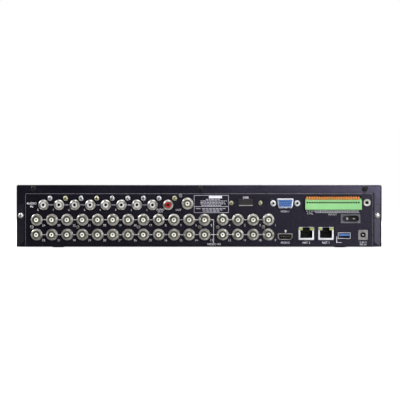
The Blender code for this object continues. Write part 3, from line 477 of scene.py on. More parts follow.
def hollowed(piece, normal, wall, depth):
    """Sinks the face that looks along normal, leaving a wall round it."""
    facing = Vector(normal)
    reach = max((piece.data.vertices[n].co.dot(facing) for f in piece.data.polygons for n in f.vertices))
    pick(piece, "FACE", lambda face: face.normal.dot(facing) > 0.99
         and abs(face.calc_center_median().dot(facing) - reach) < 0.00002)
    bpy.ops.mesh.inset(thickness=wall * MM)
    bpy.ops.mesh.extrude_region_move(TRANSFORM_OT_translate={"value": -facing * depth * MM})
    clear()
    return face_outwards(piece)


FACING = {"rear": (90, "X"), "front": (-90, "X"), "right": (90, "Y"), "left": (-90, "Y"),
          "up": (0, "X"), "down": (180, "X")}


def lathed(profile, place, facing="rear", sides=32):
    """A round piece: a disc extruded and scaled along a profile of (radius, height) from its foot."""
    clear()
    radius, height = profile[0]
    bpy.ops.mesh.primitive_circle_add(vertices=sides, radius=radius * MM, fill_type="NGON")
    piece = bpy.context.object
    bpy.ops.object.mode_set(mode="EDIT")
    bpy.ops.mesh.select_all(action="SELECT")
    bpy.ops.transform.translate(value=(0, 0, height * MM))
    for (near, low), (far, high) in zip(profile, profile[1:]):
        bpy.ops.mesh.extrude_region_move(TRANSFORM_OT_translate={"value": (0, 0, (high - low) * MM)})
        bpy.ops.transform.resize(value=(far / near, far / near, 1), center_override=(0, 0, high * MM))
    face_outwards(piece)
    angle, axis = FACING[facing]
    piece.data.transform(Matrix.Rotation(math.radians(angle), 4, axis))
    piece.data.transform(Matrix.Translation(Vector(place) * MM))
    return piece


def printed(words, x, z, height, y=None, front=False, align="CENTER", rise=INK_RISE):
    """Lettering that stands as thick as its ink on the rear panel or on the fascia."""
    clear()
    bpy.ops.object.text_add()
    text = bpy.context.object
    text.data.body = words
    text.data.size = height / 0.72 * MM
    text.data.align_x = align
    text.data.align_y = "CENTER"
    text.data.extrude = rise / 2 * MM
    text.data.resolution_u = 3
    bpy.ops.object.convert(target="MESH")
    text = bpy.context.object
    side = -1 if front else 1
    turn = Matrix.Rotation(math.radians(180 if front else 0), 4, "Z") @ Matrix.Rotation(math.radians(90), 4, "X")
    text.data.transform(turn)
    plane = (FACE if front else REAR) if y is None else y
    text.data.transform(Matrix.Translation(Vector((x, plane - side * rise / 2, z)) * MM))
    return text


def stripe(x, z, rise=INK_RISE, y=None):
    """A printed bar on the rear panel."""
    plane = REAR if y is None else y
    return slab(x, (plane - rise, plane), z)


def made(piece, name, look, body=CASE, stands_for=(), smooth=35.0, keep_looks=False):
    """Names a finished piece, gives it its finish, and sets it on its body."""
    piece.name = name
    piece.data.name = name
    if not keep_looks:
        piece.data.materials.clear()
        piece.data.materials.append(FINISHES[look])
    alone(piece)
    bpy.ops.object.shade_smooth_by_angle(angle=math.radians(smooth))
    applied(piece, "WEIGHTED_NORMAL", keep_sharp=True)
    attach(piece, body)
    if stands_for:
        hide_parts(*stands_for)
    return piece


# --------------------------------------------------------------------------- case


def hole_tool(radius, x, z, sides=32, depth=4.0):
    return lathed([(radius, -depth), (radius, depth)], (x, REAR, z), "rear", sides)


def vent_tools(side, columns, y_middle, z_middle):
    tools = []
    for row in range(2):
        for column in range(columns):
            y = y_middle + 5.2 * (column - (columns - 1) / 2)
            z = z_middle + 17.5 * (row - 0.5)
            tools.append(rounded_slab((side * HALF - 4, side * HALF + 4), (y - 1.3, y + 1.3),
                                      (z - 7, z + 7), 1.25, "X", 3))
    return tools


def cover():
    """The folded cover, with rounded bends, mitred rear corners and slotted sides."""
    front = span("top_cover")[1].y
    shell = slab((-HALF, HALF), (REAR, front), (BOTTOM, TOP))

    def bend(edge):
        middle = sum((corner.co for corner in edge.verts), Vector()) / 2
        along = (edge.verts[0].co - edge.verts[1].co).normalized()
        top, side, rear = (abs(middle.z - TOP * MM) < 1e-6, abs(abs(middle.x) - HALF * MM) < 1e-6,
                           abs(middle.y - REAR * MM) < 1e-6)
        return (top and side and abs(along.y) > 0.9) or (rear and (top or side) and abs(along.y) < 0.1)

    pick(shell, "EDGE", bend)
    bpy.ops.mesh.bevel(offset=1.55 * MM, segments=5, affect="EDGES")
    clear()
    pick(shell, "FACE", lambda face: face.normal.z < -0.9 or face.normal.y > 0.9)
    bpy.ops.mesh.delete(type="FACE")
    clear()
    applied(shell, "SOLIDIFY", thickness=1.0 * MM, offset=-1.0, use_even_offset=True)
    inside = HALF - 1.0
    openings = [slab((-STEP_X, STEP_X), (REAR - 3, REAR + 3), (BOTTOM - 3, FLANGE_LOW)),
                slab((-inside, inside), (REAR - 3, REAR + 3), (BOTTOM - 3, BASE_WALL_TOP + 0.3))]
    for tool in openings:
        without(shell, tool)
    holes = [hole_tool(1.8, centre(name).x, centre(name).z, 20)
             for name in ("cover_screw_left", "cover_screw_middle", "cover_screw_right")]
    fan = centre("fan_frame")
    without(shell, *holes, *vent_tools(1, 7, fan.y, fan.z + 1), *vent_tools(-1, 10, -40, fan.z + 1))
    mitres = []
    for side in (-1, 1):
        corner = Vector((side * (HALF - 4.2), REAR, TOP - 4.4))
        groove = slab((corner.x - 4.9, corner.x + 4.9), (REAR - 2, REAR + 0.35), (corner.z - 0.14, corner.z + 0.14))
        mitres.append(turned_about(groove, side * -45, "Y", corner))
    without(shell, *mitres)
    made(softened(shell, 0.12, 1, 60.0), "folded_cover", "cover_coat", stands_for=("top_cover",))


def panel():
    """The embossed rear plate with rounded bends and every cut-out."""
    lip = span("rear_panel")
    plate = rounded_slab((-FIELD_HALF, FIELD_HALF), (REAR, REAR + 1.9), (BOTTOM + 0.05, FIELD_TOP), 1.4, "Y", 4,
                         lower=(0.3, 1))
    pick(plate, "FACE", lambda face: face.normal.y < -0.99)
    bpy.ops.mesh.region_to_loop()
    bpy.ops.mesh.bevel(offset=0.8 * MM, segments=4, affect="EDGES")
    clear()
    without(plate, slab((-FIELD_HALF + 1, FIELD_HALF - 1), (REAR + 1, REAR + 6), (BOTTOM + 1.6, FIELD_TOP - 1)))
    margin = slab((lip[0].x, lip[1].x), (REAR + 1.3, lip[1].y), (lip[0].z + 1.3, lip[1].z))
    without(margin, slab((-FIELD_HALF + 1, FIELD_HALF - 1), (REAR - 3, REAR + 6), (BOTTOM + 1.6, FIELD_TOP - 1)))
    applied(plate, "BOOLEAN", operation="UNION", solver="EXACT", object=margin)
    bpy.data.objects.remove(margin)

    rounds = []
    for number in range(1, 5):
        columns, rows = socket_places(f"video_input_block_{number}")
        rounds += [hole_tool(6.2, x, z) for x in columns for z in rows]
    rounds += [hole_tool(5.5, x, z) for x, z in audio_places()]
    rounds.append(hole_tool(6.2, *monitor_place()))
    jack = span("remote_jack")
    rounds.append(hole_tool(3.5, (jack[0].x + jack[1].x) / 2, jack[1].z - 4.5, 24))
    plug = centre("dsub_monitor_port")
    rounds += [hole_tool(3.0, plug.x + side * 12.5, plug.z, 24) for side in (-1, 1)]
    rounds += [hole_tool(1.8, centre(f"cover_screw_{where}").x, centre("cover_screw_left").z, 16)
               for where in ("left", "middle", "right")]
    rounds += [hole_tool(1.5, centre(f"side_screw_{where}").x, centre("side_screw_left").z, 16)
               for where in ("left", "right")]
    without(plate, *rounds)

    def window(node, grow_x, grow_z, radius=0.4, low_z=None, high_z=None, half_x=None):
        low, high = span(node)
        middle = (low.x + high.x) / 2
        half = half_x or (high.x - low.x) / 2
        bottom, top = low.z if low_z is None else low_z, high.z if high_z is None else high_z
        return rounded_slab((middle - half - grow_x, middle + half + grow_x), (REAR - 4, REAR + 4),
                            (bottom - grow_z, top + grow_z), radius, "Y", 2)

    drive = centre("external_drive_port")
    drive_z = span("external_drive_port")[0].z + 5
    squares = [window("network_port_1", 0.4, 0.3), window("network_port_2", 0.4, 0.3),
               window("rear_usb_port", 0.4, 0.4), window("digital_monitor_port", 0.4, 0.4),
               window("dc_inlet", 0.45, 0.4, low_z=span("dc_inlet")[1].z - 10.6),
               window("terminal_header", -0.4, 0.4, high_z=span("terminal_header")[1].z + 4.0),
               window("power_switch_bezel", -0.7, -0.55),
               rounded_slab((drive.x - 7.9, drive.x + 7.9), (REAR - 4, REAR + 4), (drive_z - 3.9, drive_z + 3.9),
                            0.5, "Y", 2),
               d_block(plug.x, plug.z, 8.9, 5.0, REAR - 4, REAR + 4, 1.6)]
    without(plate, *squares)
    # The tilted faces of the outer bends take the lighter coat: a painted highlight where the bends catch the light
    # from above.
    plate.data.materials.clear()
    for look in ("panel_coat", "bend_highlight_coat"):
        plate.data.materials.append(FINISHES[look])
    for face in plate.data.polygons:
        spot = face.center / MM
        outer = spot.z > FIELD_TOP - 0.9 or abs(spot.x) > FIELD_HALF - 0.9
        bent = face.normal.y < -0.05 and max(face.normal.z, abs(face.normal.x)) > 0.12
        face.material_index = int(outer and bent and spot.y < REAR + 0.9)
    made(plate, "embossed_rear_plate", "panel_coat", stands_for=("rear_panel",), keep_looks=True)


def cross_screw(radius, height, look, crown=0.55, slot=0.5, sides=28, recess="deep_black"):
    """A pan head with a dark cross recess, standing on the rear plane at the origin of X and Z."""
    head = lathed([(radius * 0.96, 0.0), (radius, height * 0.12), (radius, height * (1 - crown)),
                   (radius * 0.93, height * 0.72), (radius * 0.74, height * 0.92), (radius * 0.42, height),
                   (radius * 0.12, height)], (0, 0, 0), "rear", sides)
    arm = radius * 0.62
    tools = []
    for turn in (0, 90):
        bar = slab((-arm, arm), (-height - 1, -height * 0.35), (-slot / 2, slot / 2))
        tools.append(turned_about(bar, turn, "Y", (0, 0, 0)))
    for tool in tools:
        without(head, tool)
    # The faces inside the cross take the recess finish, black or darkened nickel: painted shade in the recess.
    head.data.materials.clear()
    for name in (look, recess):
        head.data.materials.append(FINISHES[name])
    for face in head.data.polygons:
        spot = face.center / MM
        face.material_index = int(math.hypot(spot.x, spot.z) < arm * 1.02 and spot.y > -height * 0.86)
    return head


def driven(head, x, z, turn, name, look, y=None, stands_for=()):
    """A copy of a screw head, turned and set in its place."""
    screw = turned_about(copied(head, (0, 0, 0)), turn, "Y", (0, 0, 0))
    screw.data.transform(Matrix.Translation(Vector((x, REAR if y is None else y, z)) * MM))
    screw.data.materials[0] = FINISHES[look]
    return made(screw, name, look, stands_for=stands_for, keep_looks=True)


def fixing_screws():
    """Every screw that shows on the rear: the case's own, and the small ones beside the connectors."""
    case_head = cross_screw(3.2, 2.0, "black_screw", slot=0.8)
    for where, turn in (("left", 20), ("middle", 52), ("right", 8)):
        spot = centre(f"cover_screw_{where}")
        driven(case_head, spot.x, spot.z, turn, f"black_pan_screw_{where}", "black_screw", REAR - 0.05,
               (f"cover_screw_{where}",))
    # The bright screws' cross recesses take the darkened nickel: painted shade.
    side_head = cross_screw(3.05, 2.0, "zinc", slot=0.75, recess="painted_shade_nickel")
    for where, turn in (("left", 12), ("right", 35)):
        spot = centre(f"side_screw_{where}")
        driven(side_head, spot.x, spot.z, turn, f"bright_pan_screw_{where}", "zinc", REAR - 0.05,
               (f"side_screw_{where}",))
    audio_head = cross_screw(2.65, 1.5, "zinc", slot=0.7)
    for number, (x, z) in enumerate(audio_places(), 1):
        driven(audio_head, x + 6.8, z + 6.9, 25 * number, f"audio_fixing_screw_{number}",
               "yellow_zinc" if number in (2, 4, 9) else "zinc")
    small_head = cross_screw(2.0, 1.2, "dull_nickel", slot=0.6)
    spots = []
    for number in range(1, 5):
        columns, rows = socket_places(f"video_input_block_{number}")
        first = () if number in (2, 3) else (columns[0] - 5.0,)
        spots += [(place, sum(rows) / 2 + 0.2) for place in (*first, columns[-1] - 5.0)]
    x, z = monitor_place()
    spots.append((x - 7.2, z + 8.4))
    for number, (x, z) in enumerate(spots, 1):
        driven(small_head, x, z, 31 * number, f"socket_fixing_screw_{number}", "dull_nickel")
    drive = centre("external_drive_port")
    yellow_head = cross_screw(2.4, 1.4, "yellow_zinc", slot=0.65)
    for number, side in enumerate((-1, 1), 1):
        driven(yellow_head, drive.x + side * 15.05, span("external_drive_port")[0].z + 4.6, 40 * number,
               f"drive_port_screw_{number}", "yellow_zinc")
    for head in (case_head, side_head, audio_head, small_head, yellow_head):
        bpy.data.objects.remove(head)


def feet():
    for where in ("rear_left", "rear_right", "front_left", "front_right"):
        low, high = span(f"foot_{where}")
        middle = (low + high) / 2
        pad = lathed([(5.9, 0.0), (6.2, 0.12), (6.7, 0.9), (7.1, 1.5), (7.1, high.z)], (middle.x, middle.y, 0), "up", 40)
        made(pad, f"rubber_foot_{where}", "rubber", stands_for=(f"foot_{where}",))


# --------------------------------------------------------------------------- round sockets


def socket_places(block):
    """Columns and rows of the eight sockets of a block."""
    low, high = span(block)
    pitch = (high.x - low.x - 15.2) / 3
    return [low.x + 7.6 + pitch * number for number in range(4)], (low.z + 5.85, high.z - 7.5)


def monitor_place():
    low, high = span("monitor_output_bnc")
    return low.x + 8.5, high.z - 7.0


def audio_places():
    """The eight inputs, then the output."""
    low, high = span("audio_input_jacks")
    pitch = (high.x - low.x - 14.0) / 7
    level = high.z - 6.0
    return [(low.x + 7 + pitch * number, level) for number in range(8)] + [(centre("audio_output_jack").x, level)]


def bayonet_shell():
    """The plated shell of one video socket, at the origin of X and Z on the rear plane."""
    shell = lathed([(6.0, -2.2), (6.0, 1.5), (5.85, 1.95), (5.55, 2.1), (5.35, 1.75), (5.15, 1.75),
                    (5.05, 2.2), (4.95, 3.0), (4.85, 3.3), (4.85, TIP - 0.9), (4.78, TIP - 0.35),
                    (4.55, TIP - 0.03), (4.3, TIP - 0.03), (4.1, TIP - 0.3), (4.02, TIP - 0.9),
                    (4.02, TIP - 5.6), (3.6, TIP - 6.0), (3.6, 4.2)], (0, 0, 0), "rear", 36)
    lugs = []
    for side in (-1, 1):
        lugs.append(lathed([(1.05, 4.5), (1.05, 5.35), (0.85, 5.55)], (0, -(TIP - 3.7), 0),
                           "right" if side > 0 else "left", 14))
    return joined([shell, *lugs])


def bayonet_lining():
    """The plated cone round the insulator, set back behind the bright lip."""
    return lathed([(3.98, 4.25), (3.98, TIP - 3.7), (3.75, TIP - 3.6), (2.75, TIP - 2.2), (2.35, TIP - 2.0),
                   (2.35, 4.3)], (0, 0, 0), "rear", 32)


def bayonet_core():
    """The milky insulator with its bored mouth."""
    return lathed([(2.3, 4.4), (2.3, TIP - 1.9), (2.1, TIP - 1.65), (1.15, TIP - 1.65), (0.9, TIP - 1.9),
                   (0.9, TIP - 7.0)], (0, 0, 0), "rear", 28)


def bayonet_contact():
    return lathed([(0.89, 5.0), (0.89, TIP - 2.15), (0.78, TIP - 2.1), (0.62, TIP - 2.2), (0.55, TIP - 2.6),
                   (0.5, TIP - 6.0)], (0, 0, 0), "rear", 16)


def bayonet_sockets():
    """The ganged video inputs and the monitor output."""
    shell, lining, core, contact = bayonet_shell(), bayonet_lining(), bayonet_core(), bayonet_contact()
    groups = [(f"video_input_block_{number}", *socket_places(f"video_input_block_{number}"))
              for number in range(1, 5)]
    x, z = monitor_place()
    groups.append(("monitor_output_bnc", [x], (z,)))
    for node, columns, rows in groups:
        low, high = span(node)
        back = [slab((low.x, high.x), (REAR + 1.3, high.y), (low.z, high.z), 0.6, 2)]
        spots = [(x, REAR, z) for x in columns for z in rows]
        casting = joined(back + [copied(shell, spot) for spot in spots])
        made(casting, f"{node}_casting", "nickel", stands_for=(node,))
        # The linings take the darkened nickel: painted shade inside the bores round the insulators.
        made(joined([copied(lining, spot) for spot in spots]), f"{node}_linings", "painted_shade_nickel")
        made(joined([copied(core, spot) for spot in spots]), f"{node}_insulators", "white_insulator")
        # The centre contacts are black: painted shade deep in the bores.
        made(joined([copied(contact, spot) for spot in spots]), f"{node}_contacts", "deep_black")
    for tool in (shell, lining, core, contact):
        bpy.data.objects.remove(tool)


def phono_jacks():
    """The phono jacks: plated barrel, coloured insert, and the contact in its bore."""
    flange = lathed([(5.3, -2.2), (5.3, 1.0), (5.1, 1.4), (4.75, 1.55), (4.5, 1.85), (4.25, 2.0), (4.15, 2.0)],
                    (0, 0, 0), "rear", 36)
    barrel = lathed([(4.15, 2.0), (4.15, 9.0), (4.0, 9.4), (3.75, 9.5), (3.5, 9.3), (3.4, 8.9), (3.4, 3.0)],
                    (0, 0, 0), "rear", 36)
    insert = lathed([(3.35, 3.2), (3.35, 6.6), (3.1, 6.9), (2.85, 8.3), (2.6, 8.7), (1.95, 8.7), (1.62, 8.4),
                     (1.62, 3.4)], (0, 0, 0), "rear", 32)
    pin = lathed([(1.5, 3.5), (1.5, 4.6), (1.3, 4.8)], (0, 0, 0), "rear", 20)
    places = audio_places()
    for node, spots, look in (("audio_input_jacks", places[:8], "white_plastic"),
                              ("audio_output_jack", places[8:], "red_plastic")):
        low, high = span(node)
        body = slab((low.x, high.x), (REAR + 1.3, high.y), (low.z, high.z), 0.5, 2)
        made(body, f"{node}_housing", look, stands_for=(node,))
        for number, (x, z) in enumerate(spots, 1):
            spot = (x, REAR, z)
            made(copied(flange, spot), f"{node}_flange_{number}", "nickel")
            made(copied(barrel, spot), f"{node}_barrel_{number}", "dull_nickel")
            made(copied(insert, spot), f"{node}_insert_{number}", look)
            # The contact pin in each bore is black: painted shade in the bore.
            made(copied(pin, spot), f"{node}_spring_{number}", "deep_black")
    for tool in (flange, barrel, insert, pin):
        bpy.data.objects.remove(tool)


# --------------------------------------------------------------------------- other rear connectors


def d_block(x, z, half_x, half_z, rear, front, lean, radius=1.5):
    """A D-shaped block: its lower side is narrower, and its corners are round."""
    piece = slab((x - half_x, x + half_x), (rear, front), (z - half_z, z + half_z))
    pick(piece, "FACE", lambda face: face.normal.z < -0.99)
    bpy.ops.transform.resize(value=((half_x - lean) / half_x, 1, 1), center_override=(x * MM, 0, 0))
    clear()
    pick(piece, "EDGE", lambda edge: abs((edge.verts[0].co - edge.verts[1].co).normalized().y) > 0.99)
    bpy.ops.mesh.bevel(offset=radius * MM, segments=4, affect="EDGES")
    clear()
    return piece


def dsub():
    """The fifteen-way monitor socket: flange, shell, blue insert with its holes, two jack posts."""
    node = "dsub_monitor_port"
    spot = centre(node)
    low, high = span(node)
    flange = rounded_slab((low.x, high.x), (REAR + 1.3, REAR + 2.3), (low.z, high.z), 1.0, "Y", 3)
    collar = d_block(spot.x, spot.z, 8.45, 4.5, low.y, REAR + 2, 1.3)
    collar = hollowed(softened(collar, 0.25, 2, 50.0), (0, -1, 0), 0.42, 5.2)
    made(joined([flange, collar]), "monitor_socket_shell", "zinc", stands_for=(node,))
    insert = softened(d_block(spot.x, spot.z, 7.85, 3.95, low.y + 0.7, REAR + 8, 1.2, 1.2), 0.15, 1, 50.0)
    holes, throats = [], []
    for row, (count, shift) in enumerate(((5, -0.6), (5, 0.6), (5, -0.6))):
        for number in range(count):
            x = spot.x + shift + 2.29 * (number - 2)
            place = (x, low.y + 0.7, spot.z + 2.0 - 2.0 * row)
            holes.append(lathed([(0.7, -9), (0.7, 2)], place, "rear", 12))
            throats.append(lathed([(0.69, -6), (0.69, -0.3)], place, "rear", 12))
    made(without(insert, *holes), "monitor_socket_insert", "blue_plastic")
    # Black tubes in the pin holes: painted shade inside the holes.
    made(joined(throats), "monitor_socket_throats", "deep_black")
    posts = []
    for side in (-1, 1):
        post = lathed([(2.4, -2), (2.4, 4.6), (2.15, 4.95), (1.55, 4.95), (1.35, 4.6), (1.35, -1)],
                      (spot.x + side * 12.5, REAR, spot.z), "rear", 6)
        posts.append(turned_about(post, 30 + 22 * side, "Y", (spot.x + side * 12.5, 0, spot.z)))
    made(joined(posts), "monitor_socket_jack_posts", "steel", smooth=20.0)
    # Black tubes in the jack posts' bores: painted shade inside the threads.
    bores = [lathed([(1.33, -0.8), (1.33, 3.4), (1.0, 3.5), (0.9, 2.0)], (spot.x + side * 12.5, REAR, spot.z), "rear", 20)
             for side in (-1, 1)]
    made(joined(bores), "monitor_socket_post_bores", "deep_black")


def drive_socket():
    """The external drive socket in its bracket, with the bright lip under it."""
    node = "external_drive_port"
    low, high = span(node)
    x, z = (low.x + high.x) / 2, low.z + 5
    bracket = rounded_slab((low.x, high.x), (REAR + 1.3, REAR + 2.3), (low.z, high.z), 1.2, "Y", 3)
    made(bracket, "drive_socket_bracket", "black_plastic", stands_for=(node,))
    body = rounded_slab((x - 7.3, x + 7.3), (REAR - 0.5, REAR + 12), (z - 2.6, z + 3.4), 0.5, "Y", 2)
    mouth = [slab((x - 5.9, x + 5.9), (REAR - 3, REAR + 9), (z - 1.8, z + 2.5)),
             slab((x - 6.6, x - 5.5), (REAR - 3, REAR + 9), (z + 0.9, z + 2.5))]
    for tool in mouth:
        without(body, tool)
    made(softened(body, 0.12, 1, 50.0), "drive_socket_moulding", "black_plastic")
    tongue = slab((x - 5.0, x + 5.2), (REAR + 0.6, REAR + 9), (z - 0.1, z + 1.0), 0.15, 1)
    hook = slab((x + 4.3, x + 5.2), (REAR + 0.6, REAR + 9), (z + 0.9, z + 1.9), 0.1, 1)
    made(joined([tongue, hook]), "drive_socket_tongue", "black_plastic")
    strips = [slab((x - 4.2 + 1.27 * n, x - 3.6 + 1.27 * n), (REAR + 3.5, REAR + 8), (z - 0.2, z - 0.1))
              for n in range(7)]
    made(joined(strips), "drive_socket_contacts", "gold")
    lip = rounded_slab((x - 7.4, x + 7.4), (REAR - 0.6, REAR + 6), (z - 3.4, z - 2.65), 0.3, "Y", 2)
    made(softened(lip, 0.1, 1, 50.0), "drive_socket_lip", "dull_nickel")


def digital_socket():
    """The digital monitor socket: a thin shell with clipped lower corners, and a contact tongue."""
    node = "digital_monitor_port"
    low, high = span(node)
    x, z = (low.x + high.x) / 2, (low.z + high.z) / 2
    shell = rounded_slab((low.x, high.x), (low.y, high.y), (low.z, high.z), 0.7, "Y", 3, lower=(1.9, 1))
    made(hollowed(softened(shell, 0.15, 1, 40.0), (0, -1, 0), 0.42, 9.0), "digital_socket_shell", "dull_nickel",
         stands_for=(node,))
    lining = rounded_slab((low.x + 0.55, high.x - 0.55), (low.y + 7.5, high.y - 0.6), (low.z + 0.55, high.z - 0.55),
                          0.4, "Y", 2, lower=(1.7, 1))
    made(lining, "digital_socket_lining", "deep_black")
    tongue = slab((x - 5.6, x + 5.6), (REAR + 0.6, REAR + 8), (z - 0.6, z + 0.7), 0.15, 1)
    made(tongue, "digital_socket_tongue", "black_plastic")
    strips = [slab((x - 4.75 + 0.5 * n, x - 4.5 + 0.5 * n), (REAR + 3.0, REAR + 7),
                   (z - 0.68, z - 0.58) if n % 2 else (z + 0.68, z + 0.78)) for n in range(20)]
    made(joined(strips), "digital_socket_contacts", "gold")
    tabs = [rounded_slab((x + side * 7.45 - 0.55, x + side * 7.45 + 0.05), (low.y + 0.05, low.y + 0.5),
                         (z - 1.2 + 2.1 * n, z - 0.4 + 2.1 * n), 0.15, "Y", 1) for side in (1,) for n in (0, 1)]
    made(joined(tabs), "digital_socket_spring_tabs", "zinc")


def serial_socket():
    """The rear serial-bus socket: shell, blue tongue, contacts."""
    node = "rear_usb_port"
    low, high = span(node)
    x, z = (low.x + high.x) / 2, (low.z + high.z) / 2
    shell = rounded_slab((low.x, high.x), (low.y, high.y), (low.z, high.z), 0.55, "Y", 3)
    made(hollowed(softened(shell, 0.15, 1, 40.0), (0, -1, 0), 0.42, 12.5), "serial_socket_shell", "steel",
         stands_for=(node,))
    lining = slab((low.x + 0.5, high.x - 0.5), (low.y + 1.2, REAR + 9.4), (low.z + 0.5, high.z - 0.5))
    made(hollowed(lining, (0, -1, 0), 0.16, REAR + 9.2 - low.y - 1.2), "serial_socket_lining", "deep_black")
    tongue = slab((x - 5.6, x + 5.6), (REAR + 0.1, REAR + 9.3), (z - 0.5, z + 2.1), 0.2, 2)
    made(tongue, "serial_socket_tongue", "blue_plastic")
    back = slab((x - 6.1, x + 6.1), (REAR + 9.5, REAR + 11.5), (z - 2.8, z + 2.8))
    made(back, "serial_socket_back_wall", "blue_plastic")
    strips = [slab((x - 4.2 + 2.3 * n, x - 3.2 + 2.3 * n), (REAR + 2.4, REAR + 9), (z - 0.62, z - 0.49)) for n in range(4)]
    made(joined(strips), "serial_socket_contacts", "gold")


def network_socket(number):
    """A shielded network socket: bright frame, dark lining with its notch, eight contacts, two lamps."""
    node = f"network_port_{number}"
    low, high = span(node)
    x = (low.x + high.x) / 2
    mouth = ((x - 6.2, x + 6.2, low.z + 2.3, low.z + 10.1), (x - 3.7, x + 3.7, low.z + 10.0, low.z + 13.2))
    shield = rounded_slab((low.x, high.x), (low.y, high.y), (low.z, high.z), 0.6, "Y", 3)
    shield = softened(shield, 0.25, 2, 50.0)
    for left, right, bottom, top in mouth:
        without(shield, slab((left - 0.1, right + 0.1), (low.y - 3, low.y + 12), (bottom - 0.1, top + 0.1)))
    lamps = []
    for side in (-1, 1):
        spot = x + side * 5.85
        without(shield, slab((spot - 1.85, spot + 1.85), (low.y - 3, low.y + 3), (low.z + 10.35, low.z + 13.0)))
        lamps.append(slab((spot - 1.75, spot + 1.75), (low.y + 0.15, low.y + 4), (low.z + 10.45, low.z + 12.9), 0.2, 1))
    made(shield, f"network_shield_{number}", "steel", stands_for=(node,))
    made(joined(lamps), f"network_lamps_{number}", "lamp_window")
    lining = slab((low.x + 0.5, high.x - 0.5), (low.y + 0.4, high.y - 0.6), (low.z + 0.5, high.z - 0.5))
    for left, right, bottom, top in mouth:
        without(lining, slab((left, right), (low.y - 3, low.y + 11.5), (bottom, top)))
    for side in (-1, 1):
        spot = x + side * 5.85
        without(lining, slab((spot - 1.85, spot + 1.85), (low.y - 3, low.y + 4.4), (low.z + 10.35, low.z + 13.0)))
    made(lining, f"network_lining_{number}", "deep_black")
    wires = []
    for pin in range(8):
        left = x + 1.02 * (pin - 3.5) - 0.2
        wire = slab((left, left + 0.4), (low.y + 5, low.y + 9.5), (low.z + 7.4, low.z + 7.8))
        wires.append(turned_about(wire, -18, "X", (0, low.y + 9.5, low.z + 9.4)))
    made(joined(wires), f"network_contacts_{number}", "gold")


def power_inlet():
    """The barrel power socket."""
    node = "dc_inlet"
    low, high = span(node)
    x, z = (low.x + high.x) / 2, high.z - 5.3
    body = rounded_slab((low.x, high.x), (low.y, high.y), (low.z, high.z), 0.5, "Y", 3, soft=0.25)
    bore = lathed([(3.15, -12), (2.6, 0.1), (2.6, 0.2), (2.85, 0.9)], (x, REAR, z), "rear", 32)
    made(without(body, bore), "power_inlet_body", "inlet_plastic", stands_for=(node,))
    pin = lathed([(1.0, -11), (1.0, -0.9), (0.85, -0.5), (0.5, -0.4)], (x, REAR, z), "rear", 20)
    made(pin, "power_inlet_pin", "nickel")
    sleeve = lathed([(2.98, -11.5), (2.98, -3), (2.8, -3), (2.8, -11.4)], (x, REAR, z), "rear", 32)
    made(sleeve, "power_inlet_sleeve", "deep_black")
    spring = slab((x - 0.9, x + 0.9), (REAR + 1.5, REAR + 9), (z - 2.75, z - 2.5))
    made(spring, "power_inlet_spring", "nickel")


def ring_jack():
    """The small round jack: body, ring nut, dark bore."""
    node = "remote_jack"
    low, high = span(node)
    x, z = (low.x + high.x) / 2, high.z - 4.5
    made(slab((low.x, high.x), (REAR + 1.3, high.y), (low.z, high.z), 0.4, 2), "round_jack_body", "black_plastic",
         stands_for=(node,))
    ring = lathed([(3.1, -1.2), (3.1, 0.15), (3.85, 0.15), (3.9, 0.4), (3.9, 2.1), (3.7, 2.45), (3.1, 2.6),
                   (3.0, 2.95), (2.4, 2.98), (1.7, 2.7), (1.65, 2.4), (1.65, -1.0)], (x, REAR, z), "rear", 36)
    notches = [turned_about(slab((x + 3.2, x + 4.3), (REAR - 3.2, REAR - 1.2), (z - 0.3, z + 0.3)), turn, "Y", (x, 0, z))
               for turn in (45, 135, 225, 315)]
    made(without(ring, *notches), "round_jack_nut", "nickel")
    bore = lathed([(1.63, -0.95), (1.63, 2.2), (1.5, 2.2), (1.42, -0.8), (0.3, -0.8)], (x, REAR, z), "rear", 24)
    made(bore, "round_jack_bore", "deep_black")


# --------------------------------------------------------------------------- terminal block


WAYS = 22
WAY_PITCH = 2.54


def way_positions():
    middle = centre("release_levers").x
    return [middle + WAY_PITCH * (number - (WAYS - 1) / 2) for number in range(WAYS)]


